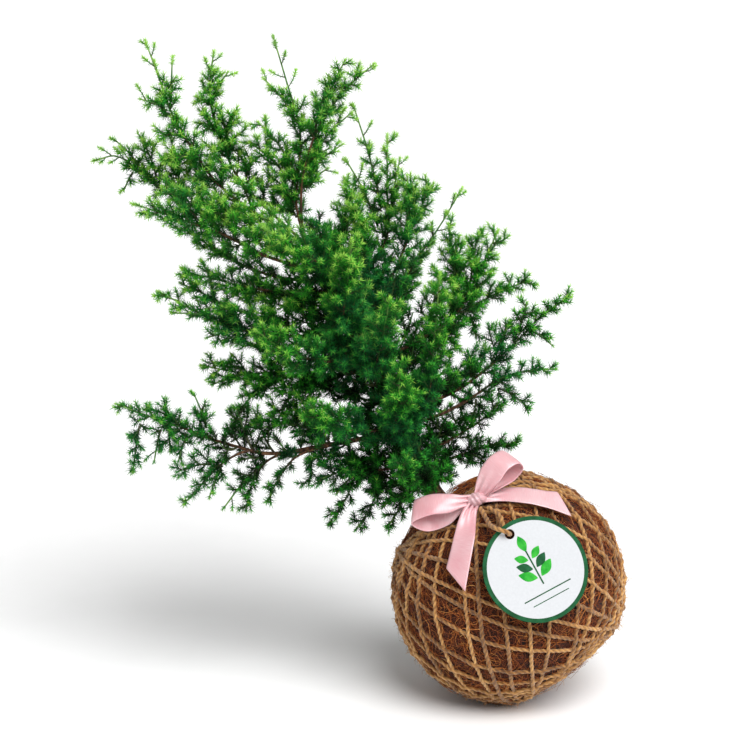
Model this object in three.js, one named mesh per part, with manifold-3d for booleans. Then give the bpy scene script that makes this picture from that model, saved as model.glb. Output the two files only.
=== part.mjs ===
// Kokedama: a small needle-leaved cypress growing out of a coir-wrapped root ball, netted with
// jute twine, with a satin bow and a round card tag on a loop of twine.
// Millimetres, +Z up, +X to the right of the front view, origin at the middle of the ball's foot.
import * as THREE from "three";
import { mergeVertices } from "three/addons/utils/BufferGeometryUtils.js";
import Module from "manifold-3d";

const wasm = await Module();
wasm.setup();
const vector = (x, y, z) => new THREE.Vector3(x, y, z);
const degrees = THREE.MathUtils.degToRad;

// ---- Driving dimensions -------------------------------------------------------------------
const BALL_CENTRE_HEIGHT = 55;      // the soft ball settles a little below its own radius
const GROWTH_AXIS = vector(-0.616, 0.204, 0.761).normalize();   // out of the ball, along the trunk
const COIR_RADIUS = 57.4;
const COIR_THICKNESS = 11;
const COIR_BOTTOM_FLATTENING = 6.6; // the wrapped ball is shorter at the pole below the roots
const FLATTENING_SPREAD = degrees(32);
const SEAT_GAP = 0.3;               // between pieces that rest against each other
const SOIL_OPENING = 13;            // radius of the gap in the coir round the trunk
const BALL_SIDES = 22;

const TWINE_WIDTH = 2.2;
const TWINE_HEIGHT = 1.9;
const TWINE_CLEARANCE = 0.75;       // lifts the straight spans clear of the coir's corners
const TWINE_LOOPS = 8;
const TWINE_STEPS = 24;
const LOOP_TILT = degrees(60);      // every loop runs round the ball just outside the poles
const LOOP_WANDER = degrees(5);
const LOOP_RISE = 0.12;             // some turns lie a little higher than others
const LOOP_START = degrees(21);     // turns the net so that a strand runs under the bow's knot

const TRUNK_ROOT_RADIUS = 4.4;
const TRUNK_TOP_RADIUS = 1.3;
const TRUNK_ROOT_DEPTH = 34;
const TRUNK_HOLE_RADIUS = 5.1;
const TWIG_RADIUS = 0.85;           // every woody branch ends this thin
const LEAF_GAP = 0.5;               // between the end of the wood and the green stem

const STEM_RADIUS = 0.85;
const NEEDLE_PITCH = 8.8;           // along a stem, from one pair of needles to the next
const NEEDLE_REACH = 4.0;           // a needle's tip stands this far out from the stem
const NEEDLE_LEAN = 3.6;            // and this far ahead of its own foot
const NEEDLE_TWIST = degrees(25);
const BARE_FOOT = 4;                // a side twig carries no needles this close to its stem
const TWIG_CLEARANCE = 8.8;         // keeps the needles of neighbouring sprays apart
const TWIG_SPACING = 19;            // one side twig for about this much of a limb's green stem
const TWIG_ZONE = [0.1, 0.82];      // the share of the green stem that carries side twigs
const TWIG_LENGTHS = [9, 0.48];     // at the stem's tip, and how much more per length of stem left
const TWIG_SPREAD = 1.15;           // sideways against ahead, where a twig leaves the stem
const TWIG_CURL = 0.45;             // how far it then turns back along the stem
const GOLDEN_TURN = degrees(137.5); // round the stem, from one twig to the next
const RETRY_TURN = degrees(67);     // and from one try at a clear place to the next
const RETRIES = 5;

const RIBBON_WIDTH = 12;
const RIBBON_THICKNESS = 0.7;
const TAG_RADIUS = 26;
const TAG_THICKNESS = 0.8;
const TAG_HOLE_RADIUS = 2.5;
const TAG_HOLE_OFFSET = 21;
const CORD_DIAMETER = 2.4;

// ---- Materials ----------------------------------------------------------------------------
const coir = new THREE.MeshStandardMaterial({ color: 0x7a4a26, roughness: 0.95, metalness: 0 });
const soil = new THREE.MeshStandardMaterial({ color: 0x3a2a1c, roughness: 1, metalness: 0 });
const jute = new THREE.MeshStandardMaterial({ color: 0xb48a5c, roughness: 0.9, metalness: 0 });
const bark = new THREE.MeshStandardMaterial({ color: 0x6b4a2f, roughness: 0.85, metalness: 0 });
const needles = new THREE.MeshStandardMaterial({ color: 0x2f7a35, roughness: 0.6, metalness: 0 });
const satin = new THREE.MeshStandardMaterial({ color: 0xf0a8b0, roughness: 0.35, metalness: 0 });
const card = new THREE.MeshStandardMaterial({ color: 0xf4f4f2, roughness: 0.5, metalness: 0 });

// ---- Solids -------------------------------------------------------------------------------
function solidFrom(geometry) {
  const bare = geometry.clone();
  bare.deleteAttribute("normal");
  bare.deleteAttribute("uv");
  const merged = mergeVertices(bare, 1e-4);
  return new wasm.Manifold(new wasm.Mesh({
    numProp: 3,
    vertProperties: new Float32Array(merged.attributes.position.array),
    triVerts: new Uint32Array(merged.index.array),
  }));
}

function geometryFrom(solid) {
  const mesh = solid.getMesh();
  const geometry = new THREE.BufferGeometry();
  geometry.setAttribute("position", new THREE.BufferAttribute(mesh.vertProperties, 3));
  geometry.setIndex(new THREE.BufferAttribute(mesh.triVerts, 1));
  geometry.computeVertexNormals();
  return geometry;
}

// Joins solids into one body, without the specks that two grazing faces can leave.
function fuse(solids) {
  const whole = solids.reduce((sum, piece) => sum.add(piece));
  return whole.decompose().reduce((best, piece) => (piece.volume() > best.volume() ? piece : best));
}

function named(name, geometry, material) {
  const mesh = new THREE.Mesh(geometry, material);
  mesh.name = name;
  return mesh;
}

// Seeded draws, so that the plant grows the same way every time.
function seededDraw(seed) {
  let state = seed >>> 0;
  return () => {
    state = (Math.imul(state, 1664525) + 1013904223) >>> 0;
    return state / 2 ** 32;
  };
}

// Three directions at a point of a curve: ahead along it, and two square to that.
function frameOn(curve, t, guide) {
  const ahead = curve.getTangent(t);
  const across = vector().crossVectors(guide, ahead).normalize();
  const out = vector().crossVectors(across, ahead);
  return { centre: curve.getPoint(t), ahead, across, out };
}

// A round bar bent onto the stretch of a curve from one share of it to another.
function bentBar(curve, from, to, sides, steps, radiusAt, guide) {
  const bar = new THREE.CylinderGeometry(1, 1, 1, sides, steps);
  const spot = bar.attributes.position;
  for (let i = 0; i < spot.count; i += 1) {
    const share = spot.getY(i) + 0.5;
    const { centre, across, out } = frameOn(curve, from + (to - from) * share, guide);
    const radius = radiusAt(share);
    centre.addScaledVector(across, spot.getX(i) * radius);
    centre.addScaledVector(out, spot.getZ(i) * radius);
    spot.setXYZ(i, centre.x, centre.y, centre.z);
  }
  return solidFrom(bar);
}

// ---- Root ball: coir wrap, soil and twine, in the ball's own frame (+Y is the growth axis) --
function coirRadiusAt(angle) {
  const fromBottom = (Math.PI - angle) / FLATTENING_SPREAD;
  return COIR_RADIUS - COIR_BOTTOM_FLATTENING * Math.exp(-(fromBottom ** 2));
}

// Points of a half section, from one angle off the growth axis to another.
function sectionArc(radiusAt, from, to, steps) {
  const points = [];
  for (let i = 0; i <= steps; i += 1) {
    const angle = from + ((to - from) * i) / steps;
    const radius = radiusAt(angle);
    const fromAxis = angle === Math.PI ? 0 : radius * Math.sin(angle);
    points.push(new THREE.Vector2(fromAxis, radius * Math.cos(angle)));
  }
  return points;
}

const innerRadiusAt = (angle) => coirRadiusAt(angle) - COIR_THICKNESS;
const soilRadiusAt = (angle) => innerRadiusAt(angle) - SEAT_GAP;
const outerRim = Math.asin(SOIL_OPENING / COIR_RADIUS);
const innerRim = Math.asin(SOIL_OPENING / (COIR_RADIUS - COIR_THICKNESS));
const ballTurn = new THREE.Quaternion().setFromUnitVectors(vector(0, 1, 0), GROWTH_AXIS);
const floorNormal = vector(0, 0, 1).applyQuaternion(ballTurn.clone().invert());

// What stands above the floor: the foot is cut flat where the ball presses on the table.
const aboveFloor = (solid) => solid.trimByPlane(floorNormal.toArray(), -BALL_CENTRE_HEIGHT);

function coirWrap() {
  const outside = sectionArc(coirRadiusAt, Math.PI, outerRim, 11);
  const inside = sectionArc(innerRadiusAt, innerRim, Math.PI, 7);
  const shell = solidFrom(new THREE.LatheGeometry([...outside, ...inside], BALL_SIDES));
  return named("coir_wrap", geometryFrom(aboveFloor(shell)), coir);
}

// A straight bar along the growth axis, from one height on it to another.
function axialBar(radius, from, to, sides) {
  const bar = new THREE.CylinderGeometry(radius, radius, to - from, sides);
  bar.translate(0, (from + to) / 2, 0);
  return solidFrom(bar);
}

function soilBall() {
  const section = [
    ...sectionArc(soilRadiusAt, Math.PI, innerRim, 7),
    new THREE.Vector2(0, soilRadiusAt(innerRim) * Math.cos(innerRim)),
  ];
  const lump = solidFrom(new THREE.LatheGeometry(section, BALL_SIDES));
  const holeFloor = COIR_RADIUS - TRUNK_ROOT_DEPTH - SEAT_GAP;
  const hole = axialBar(TRUNK_HOLE_RADIUS, holeFloor, COIR_RADIUS, 8);
  return named("soil_ball", geometryFrom(lump.subtract(hole)), soil);
}

// One turn of twine round the ball: a thin hoop whose section is a blunt triangle.
function twineLoop(spin, tilt, lift) {
  const hoop = new THREE.TorusGeometry(1, 0.25, 3, TWINE_STEPS);      // reshaped point by point below
  const turn = new THREE.Quaternion().setFromEuler(new THREE.Euler(tilt, spin, 0, "YXZ"));
  const spot = hoop.attributes.position;
  const seat = vector();
  for (let i = 0; i < spot.count; i += 1) {
    const round = Math.atan2(spot.getY(i), spot.getX(i));
    const isRidge = Math.hypot(spot.getX(i), spot.getY(i)) > 1.1;
    const sideways = isRidge ? 0 : Math.sign(spot.getZ(i)) * TWINE_WIDTH * 0.5;
    const centreLine = vector(Math.cos(round), Math.sin(round), 0).applyQuaternion(turn);
    const surface = coirRadiusAt(centreLine.angleTo(vector(0, 1, 0)));
    const radius = surface + TWINE_CLEARANCE + lift + (isRidge ? TWINE_HEIGHT : 0);
    seat.set(Math.cos(round) * radius, Math.sin(round) * radius, sideways).applyQuaternion(turn);
    spot.setXYZ(i, seat.x, seat.y, seat.z);
  }
  return solidFrom(hoop);
}

function juteTwine() {
  const draw = seededDraw(7);
  const loops = [];
  for (let i = 0; i < TWINE_LOOPS; i += 1) {
    const spin = LOOP_START + (2 * Math.PI * (i + 0.35 * (draw() - 0.5))) / TWINE_LOOPS;
    const tilt = LOOP_TILT - Math.PI / 2 + LOOP_WANDER * (draw() - 0.5);
    loops.push(twineLoop(spin, tilt, LOOP_RISE * draw()));
  }
  return named("jute_twine", geometryFrom(aboveFloor(fuse(loops))), jute);
}

// ---- Plant --------------------------------------------------------------------------------
const ballCentre = vector(0, 0, BALL_CENTRE_HEIGHT);
const onGrowthAxis = (distance) => ballCentre.clone().addScaledVector(GROWTH_AXIS, distance);
const rootEnd = onGrowthAxis(COIR_RADIUS - TRUNK_ROOT_DEPTH);
const collar = onGrowthAxis(COIR_RADIUS + 4);
const trunkLine = new THREE.CatmullRomCurve3([
  collar, vector(-54, 10, 137), vector(-71, 12, 174), vector(-89, 16, 207), vector(-103, 18, 233),
], false, "centripetal");

// Each limb leaves the trunk at its fork (a share of the trunk's height), is bare wood as far as
// its leaf point, and ends at its tip.
const LIMBS = [
  { name: "crest_centre", fork: 1.00, leaf: [-104, 23, 242], tip: [-116, 28, 329] },
  { name: "crest_right", fork: 0.98, leaf: [-92, 12, 262], tip: [-68, 13, 319] },
  { name: "crest_mid_left", fork: 0.92, leaf: [-128, 32, 248], tip: [-144, 39, 320] },
  { name: "crest_left", fork: 0.92, leaf: [-144, 13, 259], tip: [-177, 21, 327] },
  { name: "crest_back", fork: 0.95, leaf: [-106, 44, 243], tip: [-90, 65, 294] },
  { name: "far_left_high", fork: 0.86, leaf: [-155, 36, 246], tip: [-206, 37, 265] },
  { name: "far_left_low", fork: 0.80, leaf: [-145, 2, 232], tip: [-191, 2, 252] },
  { name: "left_back", fork: 0.76, leaf: [-137, 50, 211], tip: [-170, 64, 233] },
  { name: "left_upper", fork: 0.72, leaf: [-123, 10, 204], tip: [-165, 13, 224] },
  { name: "left_middle", fork: 0.58, leaf: [-123, 15, 183], tip: [-174, 15, 204] },
  { name: "left_lower", fork: 0.44, leaf: [-108, 23, 161], tip: [-154, 27, 163] },
  { name: "low_left_a", fork: 0.12, leaf: [-74, 0, 116], tip: [-90, -4, 90] },
  { name: "low_left_b", fork: 0.08, leaf: [-63, 13, 105], tip: [-77, 13, 81] },
  { name: "low_left_c", fork: 0.05, leaf: [-51, -6, 107], tip: [-61, -14, 91] },
  { name: "right_crest_left", fork: 0.66, leaf: [-61, 32, 228], tip: [-61, 37, 278] },
  { name: "right_crest", fork: 0.60, leaf: [-51, 13, 218], tip: [-39, 13, 256] },
  { name: "right_high", fork: 0.54, leaf: [-37, 23, 206], tip: [-24, 28, 256] },
  { name: "right_upper", fork: 0.46, leaf: [-26, 7, 196], tip: [-7, 9, 236] },
  { name: "right_shoulder", fork: 0.38, leaf: [-20, 27, 177], tip: [10, 31, 206] },
  { name: "right_far", fork: 0.30, leaf: [-7, 10, 163], tip: [29, 11, 201] },
  { name: "right_middle", fork: 0.24, leaf: [-13, -9, 152], tip: [20, -13, 178] },
  { name: "right_lower", fork: 0.14, leaf: [-18, 10, 135], tip: [9, 10, 147] },
  { name: "right_foot", fork: 0.08, leaf: [-24, 24, 123], tip: [4, 27, 127] },
  { name: "front_high", fork: 0.80, leaf: [-94, -18, 226], tip: [-120, -38, 248] },
  { name: "front_crown", fork: 0.62, leaf: [-82, -23, 203], tip: [-78, -43, 243] },
  { name: "front_left", fork: 0.50, leaf: [-97, -23, 179], tip: [-124, -47, 200] },
  { name: "front_middle", fork: 0.46, leaf: [-66, -27, 180], tip: [-60, -49, 216] },
  { name: "front_right", fork: 0.26, leaf: [-41, -21, 162], tip: [-36, -31, 224] },
  { name: "front_low", fork: 0.26, leaf: [-80, -26, 145], tip: [-97, -54, 162] },
  { name: "front_centre", fork: 0.20, leaf: [-57, -26, 148], tip: [-55, -56, 182] },
  { name: "front_foot", fork: 0.06, leaf: [-45, -23, 124], tip: [-55, -47, 132] },
  { name: "back_high", fork: 0.80, leaf: [-87, 51, 217], tip: [-77, 72, 249] },
  { name: "back_middle", fork: 0.60, leaf: [-69, 49, 182], tip: [-44, 75, 205] },
  { name: "back_right", fork: 0.26, leaf: [-35, 41, 147], tip: [-9, 69, 160] },
  { name: "back_left", fork: 0.46, leaf: [-79, 50, 158], tip: [-99, 77, 168] },
];

// One long low branch carries four more sprays; theirs fork off it.
const LOW_BRANCH = [vector(-58, 8, 132), vector(-84, 2, 131), vector(-112, -3, 127), vector(-137, -3, 128)];
const LOW_FORK = 0.16;
const LOW_SPRAYS = [
  { name: "low_branch_tip", fork: 1.00, leaf: [-148, -2, 131], tip: [-194, -2, 151] },
  { name: "low_branch_a", fork: 0.84, leaf: [-140, -7, 121], tip: [-161, -13, 103] },
  { name: "low_branch_b", fork: 0.66, leaf: [-126, 2, 117], tip: [-142, 6, 93] },
  { name: "low_branch_c", fork: 0.46, leaf: [-110, -5, 117], tip: [-122, -11, 96] },
];

const lowBranchLine = new THREE.CatmullRomCurve3(
  [trunkLine.getPoint(LOW_FORK), ...LOW_BRANCH], false, "centripetal");

const LIMB_SAG = 0.055;             // of each stretch, before it turns up again
const LEAF_SHARE = 0.5;             // the leaf point is the middle one of a limb line's five

// A limb's whole line, wood and green: it bows outward and turns up toward its tip.
function limbLine(limb, parent) {
  const start = parent.getPoint(limb.fork);
  const leaf = vector(...limb.leaf);
  const tip = vector(...limb.tip);
  const outward = start.clone().lerp(leaf, 0.55);
  outward.z -= LIMB_SAG * start.distanceTo(leaf);
  const rising = leaf.clone().lerp(tip, 0.5);
  rising.z -= LIMB_SAG * leaf.distanceTo(tip);
  return new THREE.CatmullRomCurve3([start, outward, leaf, rising, tip], false, "centripetal");
}

const limbs = [
  ...LIMBS.map((limb) => ({ ...limb, line: limbLine(limb, trunkLine) })),
  ...LOW_SPRAYS.map((limb) => ({ ...limb, line: limbLine(limb, lowBranchLine) })),
];

const guideFor = (line) => {
  const run = line.getPoint(1).sub(line.getPoint(0));
  return Math.abs(run.y) < 0.7 * run.length() ? vector(0, 1, 0) : vector(1, 0, 0);
};

function trunkRadiusAt(share) {
  return TRUNK_ROOT_RADIUS + (TRUNK_TOP_RADIUS - TRUNK_ROOT_RADIUS) * share;
}

function woodyFrame() {
  const rootLine = new THREE.LineCurve3(rootEnd, collar);
  const front = vector(0, 1, 0);
  const pieces = [
    bentBar(rootLine, 0, 1, 6, 1, () => TRUNK_ROOT_RADIUS, front),
    bentBar(trunkLine, 0, 1, 6, 8, trunkRadiusAt, front),
    bentBar(lowBranchLine, 0, 1, 5, 6, (share) => 2 - share, front),
  ];
  for (const { line, fork } of limbs) {
    const thick = Math.min(1.7, trunkRadiusAt(fork) * 0.7);
    const radiusAt = (share) => thick + (TWIG_RADIUS - thick) * share;
    pieces.push(bentBar(line, 0, LEAF_SHARE, 3, 2, radiusAt, guideFor(line)));
  }
  return named("woody_stems", geometryFrom(fuse(pieces)), bark);
}

// A three-sided stem with pairs of needles, each needle raised from one face of the stem. The
// face without one moves round from pair to pair, so the needles stand out on every side.
// A twig's first stretch is bare, where it comes out of the stem that carries it.
function needleStem(curve, from, to, bareStart, draw) {
  const guide = guideFor(curve);
  const length = curve.getLength() * (to - from);
  const pairs = Math.max(2, Math.round((length - bareStart) / NEEDLE_PITCH));
  const bareShare = bareStart / length;
  const levels = Array.from({ length: pairs + 1 }, (_, i) => bareShare + ((1 - bareShare) * i) / pairs);
  if (bareStart > 0) levels.unshift(0);
  const along = (share) => from + (to - from) * share;
  const spots = [];
  const faces = [];
  const ring = (i, j) => 3 * i + (j % 3);
  levels.forEach((share, i) => {
    const { centre, across, out } = frameOn(curve, along(share), guide);
    const radius = STEM_RADIUS * (1 - 0.35 * share);
    for (let j = 0; j < 3; j += 1) {
      const round = (2 * Math.PI * j) / 3 + NEEDLE_TWIST * i;
      spots.push(centre.clone().addScaledVector(across, radius * Math.cos(round))
        .addScaledVector(out, radius * Math.sin(round)));
    }
  });
  for (let i = 0; i < levels.length - 1; i += 1) {
    const { centre: middle, ahead } = frameOn(curve, along((levels[i] + levels[i + 1]) / 2), guide);
    for (let j = 0; j < 3; j += 1) {
      const corners = [ring(i, j), ring(i + 1, j), ring(i + 1, j + 1), ring(i, j + 1)];
      const isBare = (bareStart > 0 && i === 0) || (i + j) % 3 === 0;
      if (isBare) {
        faces.push(corners[0], corners[1], corners[2], corners[0], corners[2], corners[3]);
        continue;
      }
      const foot = vector();
      corners.forEach((corner) => foot.addScaledVector(spots[corner], 0.25));
      const outward = foot.clone().sub(middle).projectOnPlane(ahead).normalize();
      const size = 0.85 + 0.3 * draw();
      spots.push(foot.addScaledVector(outward, NEEDLE_REACH * size - STEM_RADIUS / 2)
        .addScaledVector(ahead, NEEDLE_LEAN * size));
      const tip = spots.length - 1;
      corners.forEach((corner, k) => faces.push(corner, corners[(k + 1) % 4], tip));
    }
  }
  const end = frameOn(curve, to, guide);
  spots.push(end.centre.addScaledVector(end.ahead, NEEDLE_LEAN));
  const last = levels.length - 1;
  for (let j = 0; j < 3; j += 1) {
    faces.push(ring(last, j + 1), ring(last, j), spots.length - 1);
  }
  faces.push(ring(0, 0), ring(0, 1), ring(0, 2));
  const stem = new THREE.BufferGeometry().setFromPoints(spots);
  stem.setIndex(faces);
  return solidFrom(stem);
}

const pointsOn = (curve, from, to, count) =>
  Array.from({ length: count + 1 }, (_, i) => curve.getPoint(from + ((to - from) * i) / count));

// Everything that a new twig has to keep clear of: wood first, then each limb's green stem.
const occupied = [
  ...pointsOn(trunkLine, 0, 1, 30).map((at) => ({ at, owner: "wood" })),
  ...pointsOn(lowBranchLine, 0, 1, 20).map((at) => ({ at, owner: "wood" })),
];
for (const { name, line } of limbs) {
  pointsOn(line, 0, LEAF_SHARE, 12).forEach((at) => occupied.push({ at, owner: `${name} wood` }));
  pointsOn(line, LEAF_SHARE, 1, 14).forEach((at) => occupied.push({ at, owner: name }));
}

function isClear(points, owner) {
  return points.every((point) => occupied.every((other) =>
    other.owner === owner || other.at.distanceTo(point) > TWIG_CLEARANCE));
}

// One side twig of a limb, or null where it would run into a neighbour.
function sideTwig(limb, t, roll, length) {
  const { centre, ahead, across, out } = frameOn(limb.line, t, guideFor(limb.line));
  const sideways = across.multiplyScalar(Math.cos(roll)).addScaledVector(out, Math.sin(roll));
  const heading = ahead.clone().addScaledVector(sideways, TWIG_SPREAD).normalize();
  const knee = centre.clone().addScaledVector(heading, length / 2);
  const end = knee.clone().addScaledVector(heading.lerp(ahead, TWIG_CURL).normalize(), length / 2);
  const twig = new THREE.QuadraticBezierCurve3(centre, knee, end);
  const reach = pointsOn(twig, 0.35, 1, 4);
  if (!isClear(reach, limb.name)) return null;
  reach.forEach((at) => occupied.push({ at, owner: limb.name }));
  return twig;
}

function spray(limb, index) {
  const draw = seededDraw(101 + 13 * index);
  const green = limb.line.getLength() * (1 - LEAF_SHARE);
  const reach = limb.line.getPoint(LEAF_SHARE).distanceTo(limb.line.getPoint(1));
  const start = LEAF_SHARE + ((1 - LEAF_SHARE) * LEAF_GAP) / green;
  const pieces = [needleStem(limb.line, start, 1, 0, draw)];
  const twigs = Math.round(reach / TWIG_SPACING) + 1;
  const [zoneStart, zoneEnd] = TWIG_ZONE;
  const [tipLength, growth] = TWIG_LENGTHS;
  for (let i = 0; i < twigs; i += 1) {
    const share = zoneStart + ((zoneEnd - zoneStart) * (i + 0.4 * draw())) / twigs;
    const t = start + (1 - start) * share;
    const length = growth * reach * (1 - share) + tipLength + 3 * draw();
    for (let attempt = 0; attempt < RETRIES; attempt += 1) {
      const roll = GOLDEN_TURN * (i + index) + RETRY_TURN * attempt;
      const twig = sideTwig(limb, t, roll, length * (1 - 0.1 * attempt));
      if (!twig) continue;
      pieces.push(needleStem(twig, 0, 1, BARE_FOOT, draw));
      break;
    }
  }
  return named(`spray_${limb.name}`, geometryFrom(fuse(pieces)), needles);
}

// ---- Bow, tag and the tag's twine, in the bow's own frame ---------------------------------
// Its origin is the knot, +X is to the right, +Y up its face and +Z toward the front.
const KNOT = vector(-17.6, -26.6, 109.9);
const BOW_TILT = degrees(75);
const dressing = new THREE.Group();
dressing.position.copy(KNOT);
dressing.rotation.x = BOW_TILT;
dressing.updateMatrixWorld();
const ballInBow = dressing.worldToLocal(ballCentre.clone());
const NET_RADIUS = 60;

// The point above the net whose place on the bow's face is x, y.
function overBall(x, y, lift) {
  const dx = x - ballInBow.x;
  const dy = y - ballInBow.y;
  return vector(x, y, ballInBow.z + Math.sqrt((NET_RADIUS + lift) ** 2 - dx * dx - dy * dy));
}

// A strip of ribbon through its stations: where its middle is, which way its width runs, how wide.
function ribbonStrip(stations, steps, slant) {
  const middle = new THREE.CatmullRomCurve3(stations.map((station) => station.at));
  const width = new THREE.CatmullRomCurve3(
    stations.map((station) => station.across.clone().normalize().multiplyScalar(station.width)));
  const strip = new THREE.BoxGeometry(1, 1, RIBBON_THICKNESS, 1, steps, 1);
  const spot = strip.attributes.position;
  for (let i = 0; i < spot.count; i += 1) {
    const t = spot.getY(i) + 0.5;
    const ahead = middle.getTangent(t);
    const across = width.getPoint(t);
    const face = vector().crossVectors(across, ahead).normalize();
    const place = middle.getPoint(t).addScaledVector(across, spot.getX(i));
    place.addScaledVector(ahead, slant * spot.getX(i) * Math.max(0, 4 * t - 3));
    place.addScaledVector(face, spot.getZ(i));
    spot.setXYZ(i, place.x, place.y, place.z);
  }
  return solidFrom(strip);
}

const station = (at, across, width = RIBBON_WIDTH) => ({ at, across, width });

function satinBow() {
  const leftUpper = [
    station(vector(-1, 0, 1.5), vector(0, 1, 0.2), 5),
    station(vector(-11, 0, -1), vector(0.1, 1, -0.3), 9),
    station(vector(-23, -3, -3), vector(0.15, 1, -0.3)),
    station(vector(-32, -8.5, 0), vector(0.25, 1, -0.35)),
  ];
  const leftLower = [
    station(vector(-32, -8.5, 0), vector(0.25, 1, -0.35)),
    station(vector(-28, -13, 4.5), vector(0.1, 1, -0.6)),
    station(vector(-13, -8, 5.5), vector(0, 1, -0.5), 9),
    station(vector(-1, -0.5, 2), vector(0, 1, 0), 4.5),
  ];
  const rightUpper = [
    station(vector(1, 1, 1), vector(1, -0.5, 0), 5),
    station(vector(6.5, 10, 3.5), vector(0.85, -0.5, 0.1), 10),
    station(vector(13, 18, 3.5), vector(0.8, -0.6, 0.1)),
    station(vector(19.5, 22, -1), vector(0.75, -0.65, 0.1)),
  ];
  const rightLower = [
    station(vector(19.5, 22, -1), vector(0.75, -0.65, 0.1)),
    station(vector(20, 17, -6), vector(0.75, -0.65, 0)),
    station(vector(12, 9, -2.5), vector(0.75, -0.65, 0), 9),
    station(vector(1, 1, 0), vector(1, -0.5, 0), 4.5),
  ];
  const alongBall = vector(0, 0.62, -0.78);
  const rightTail = [
    station(vector(1, 0.5, 1), alongBall, 5),
    station(overBall(12, 1.5, 1.2), alongBall, 9),
    station(overBall(26, 2, 1.2), alongBall),
    station(overBall(38, -0.5, 2), vector(0.1, 0.75, -0.6)),
  ];
  const downTail = [
    station(vector(-0.5, -0.5, 1.5), vector(1, 0, 0), 5),
    station(overBall(-3, -7, 2.4), vector(1, 0, -0.3), 6),
    station(overBall(-5.5, -17, 1.6), vector(1, -0.1, 0.45), 10),
    station(overBall(-10.5, -34.5, 2.4), vector(1, -0.2, 0.5)),
  ];
  const knot = new THREE.SphereGeometry(1, 8, 6);
  knot.scale(4.4, 3.4, 2.6);
  knot.translate(0, 0, 1.2);
  const pieces = [
    solidFrom(knot),
    ribbonStrip(leftUpper, 5, 0),
    ribbonStrip(leftLower, 5, 0),
    ribbonStrip(rightUpper, 5, 0),
    ribbonStrip(rightLower, 5, 0),
    ribbonStrip(rightTail, 5, -8),
    ribbonStrip(downTail, 6, 8),
  ];
  return named("satin_bow", geometryFrom(fuse(pieces)), satin);
}

// The card's own frame: its middle is the origin, +Z faces away from the ball.
const TAG_AZIMUTH = degrees(11);
const TAG_ELEVATION = degrees(27);
const TAG_TURN = degrees(32);
const TAG_SEAT = 60.7;

function swingTag() {
  const disc = new THREE.Shape().absarc(0, 0, TAG_RADIUS, 0, 2 * Math.PI);
  disc.holes.push(new THREE.Path().absarc(0, TAG_HOLE_OFFSET, TAG_HOLE_RADIUS, 0, 2 * Math.PI, true));
  const sheet = new THREE.ExtrudeGeometry(disc, {
    depth: TAG_THICKNESS, bevelEnabled: false, curveSegments: 18,
  });
  sheet.translate(0, 0, -TAG_THICKNESS / 2);
  const tag = named("swing_tag", geometryFrom(solidFrom(sheet)), card);
  tag.rotation.order = "ZXY";
  tag.rotation.set(Math.PI / 2 - TAG_ELEVATION, 0, 0);
  const turned = new THREE.Group();
  turned.rotation.z = TAG_AZIMUTH;
  turned.position.copy(ballCentre);
  const facing = vector(0, -Math.cos(TAG_ELEVATION), Math.sin(TAG_ELEVATION));
  tag.position.copy(facing.multiplyScalar(TAG_SEAT));
  tag.rotateZ(TAG_TURN);
  turned.add(tag);
  return turned;
}

// From under the knot, over the card's edge, in through its hole and back up behind it.
const TAG_TWINE_ROUTE = [
  vector(2, -4.5, 2.7), vector(4.3, -8.8, 8.2), vector(6.3, -12.1, 13.6), vector(8, -13.2, 18.4),
  vector(10.9, -14.2, 20.9), vector(14.1, -15.3, 20.8), vector(15.5, -16.4, 17.6),
  vector(14.7, -15.7, 14.6), vector(12.4, -12.2, 13.3), vector(11.4, -8.4, 10.6), vector(9, -6.2, 7.4),
  vector(5.6, -4, 3.8),
];

function tagTwine() {
  const section = new THREE.Shape().absarc(0, 0, CORD_DIAMETER / 2, 0, 2 * Math.PI);
  const route = new THREE.CatmullRomCurve3(TAG_TWINE_ROUTE, false, "centripetal");
  const cord = new THREE.ExtrudeGeometry(section, { steps: 22, curveSegments: 4, extrudePath: route });
  return named("tag_twine", geometryFrom(solidFrom(cord)), jute);
}

// ---- Assembly -----------------------------------------------------------------------------
const kokedama = new THREE.Group();
const ball = new THREE.Group();
ball.position.copy(ballCentre);
ball.quaternion.copy(ballTurn);
ball.add(soilBall(), coirWrap(), juteTwine());
dressing.add(satinBow(), tagTwine());
kokedama.add(ball, woodyFrame(), dressing, swingTag());
limbs.forEach((limb, index) => kokedama.add(spray(limb, index)));

export default kokedama;
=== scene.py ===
# %% [markdown]
# # Kokedama: dressing the solid model
# A small cypress grows out of a ball of soil that is wrapped in coir and netted with jute twine.
# A satin bow and a round card tag hang at its collar. The solid model has all of these in plain
# form. This script puts the fine pieces in their places: needles, bark, fibres, twisted twine,
# ribbon and card. Lengths are worked out in millimetres and become metres when a mesh is written.

# %% Load the solid model
import math
from collections import namedtuple

import bmesh
import bpy
import numpy as np
from mathutils import Matrix, Vector, noise


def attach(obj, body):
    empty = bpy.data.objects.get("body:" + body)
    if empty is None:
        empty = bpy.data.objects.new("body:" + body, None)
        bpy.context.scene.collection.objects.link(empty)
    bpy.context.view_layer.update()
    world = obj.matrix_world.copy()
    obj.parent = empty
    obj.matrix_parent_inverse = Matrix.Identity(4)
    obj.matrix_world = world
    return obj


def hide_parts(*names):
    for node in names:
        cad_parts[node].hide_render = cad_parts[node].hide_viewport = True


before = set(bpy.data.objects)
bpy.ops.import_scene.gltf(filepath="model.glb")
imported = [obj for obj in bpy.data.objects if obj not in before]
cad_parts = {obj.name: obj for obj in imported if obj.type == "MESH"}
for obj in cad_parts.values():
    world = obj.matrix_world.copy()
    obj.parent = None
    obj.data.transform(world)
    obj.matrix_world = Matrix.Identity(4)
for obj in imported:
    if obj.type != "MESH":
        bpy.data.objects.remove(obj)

MM = 0.001
BALL_CENTRE = np.array([0, 0, 55.0])
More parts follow.
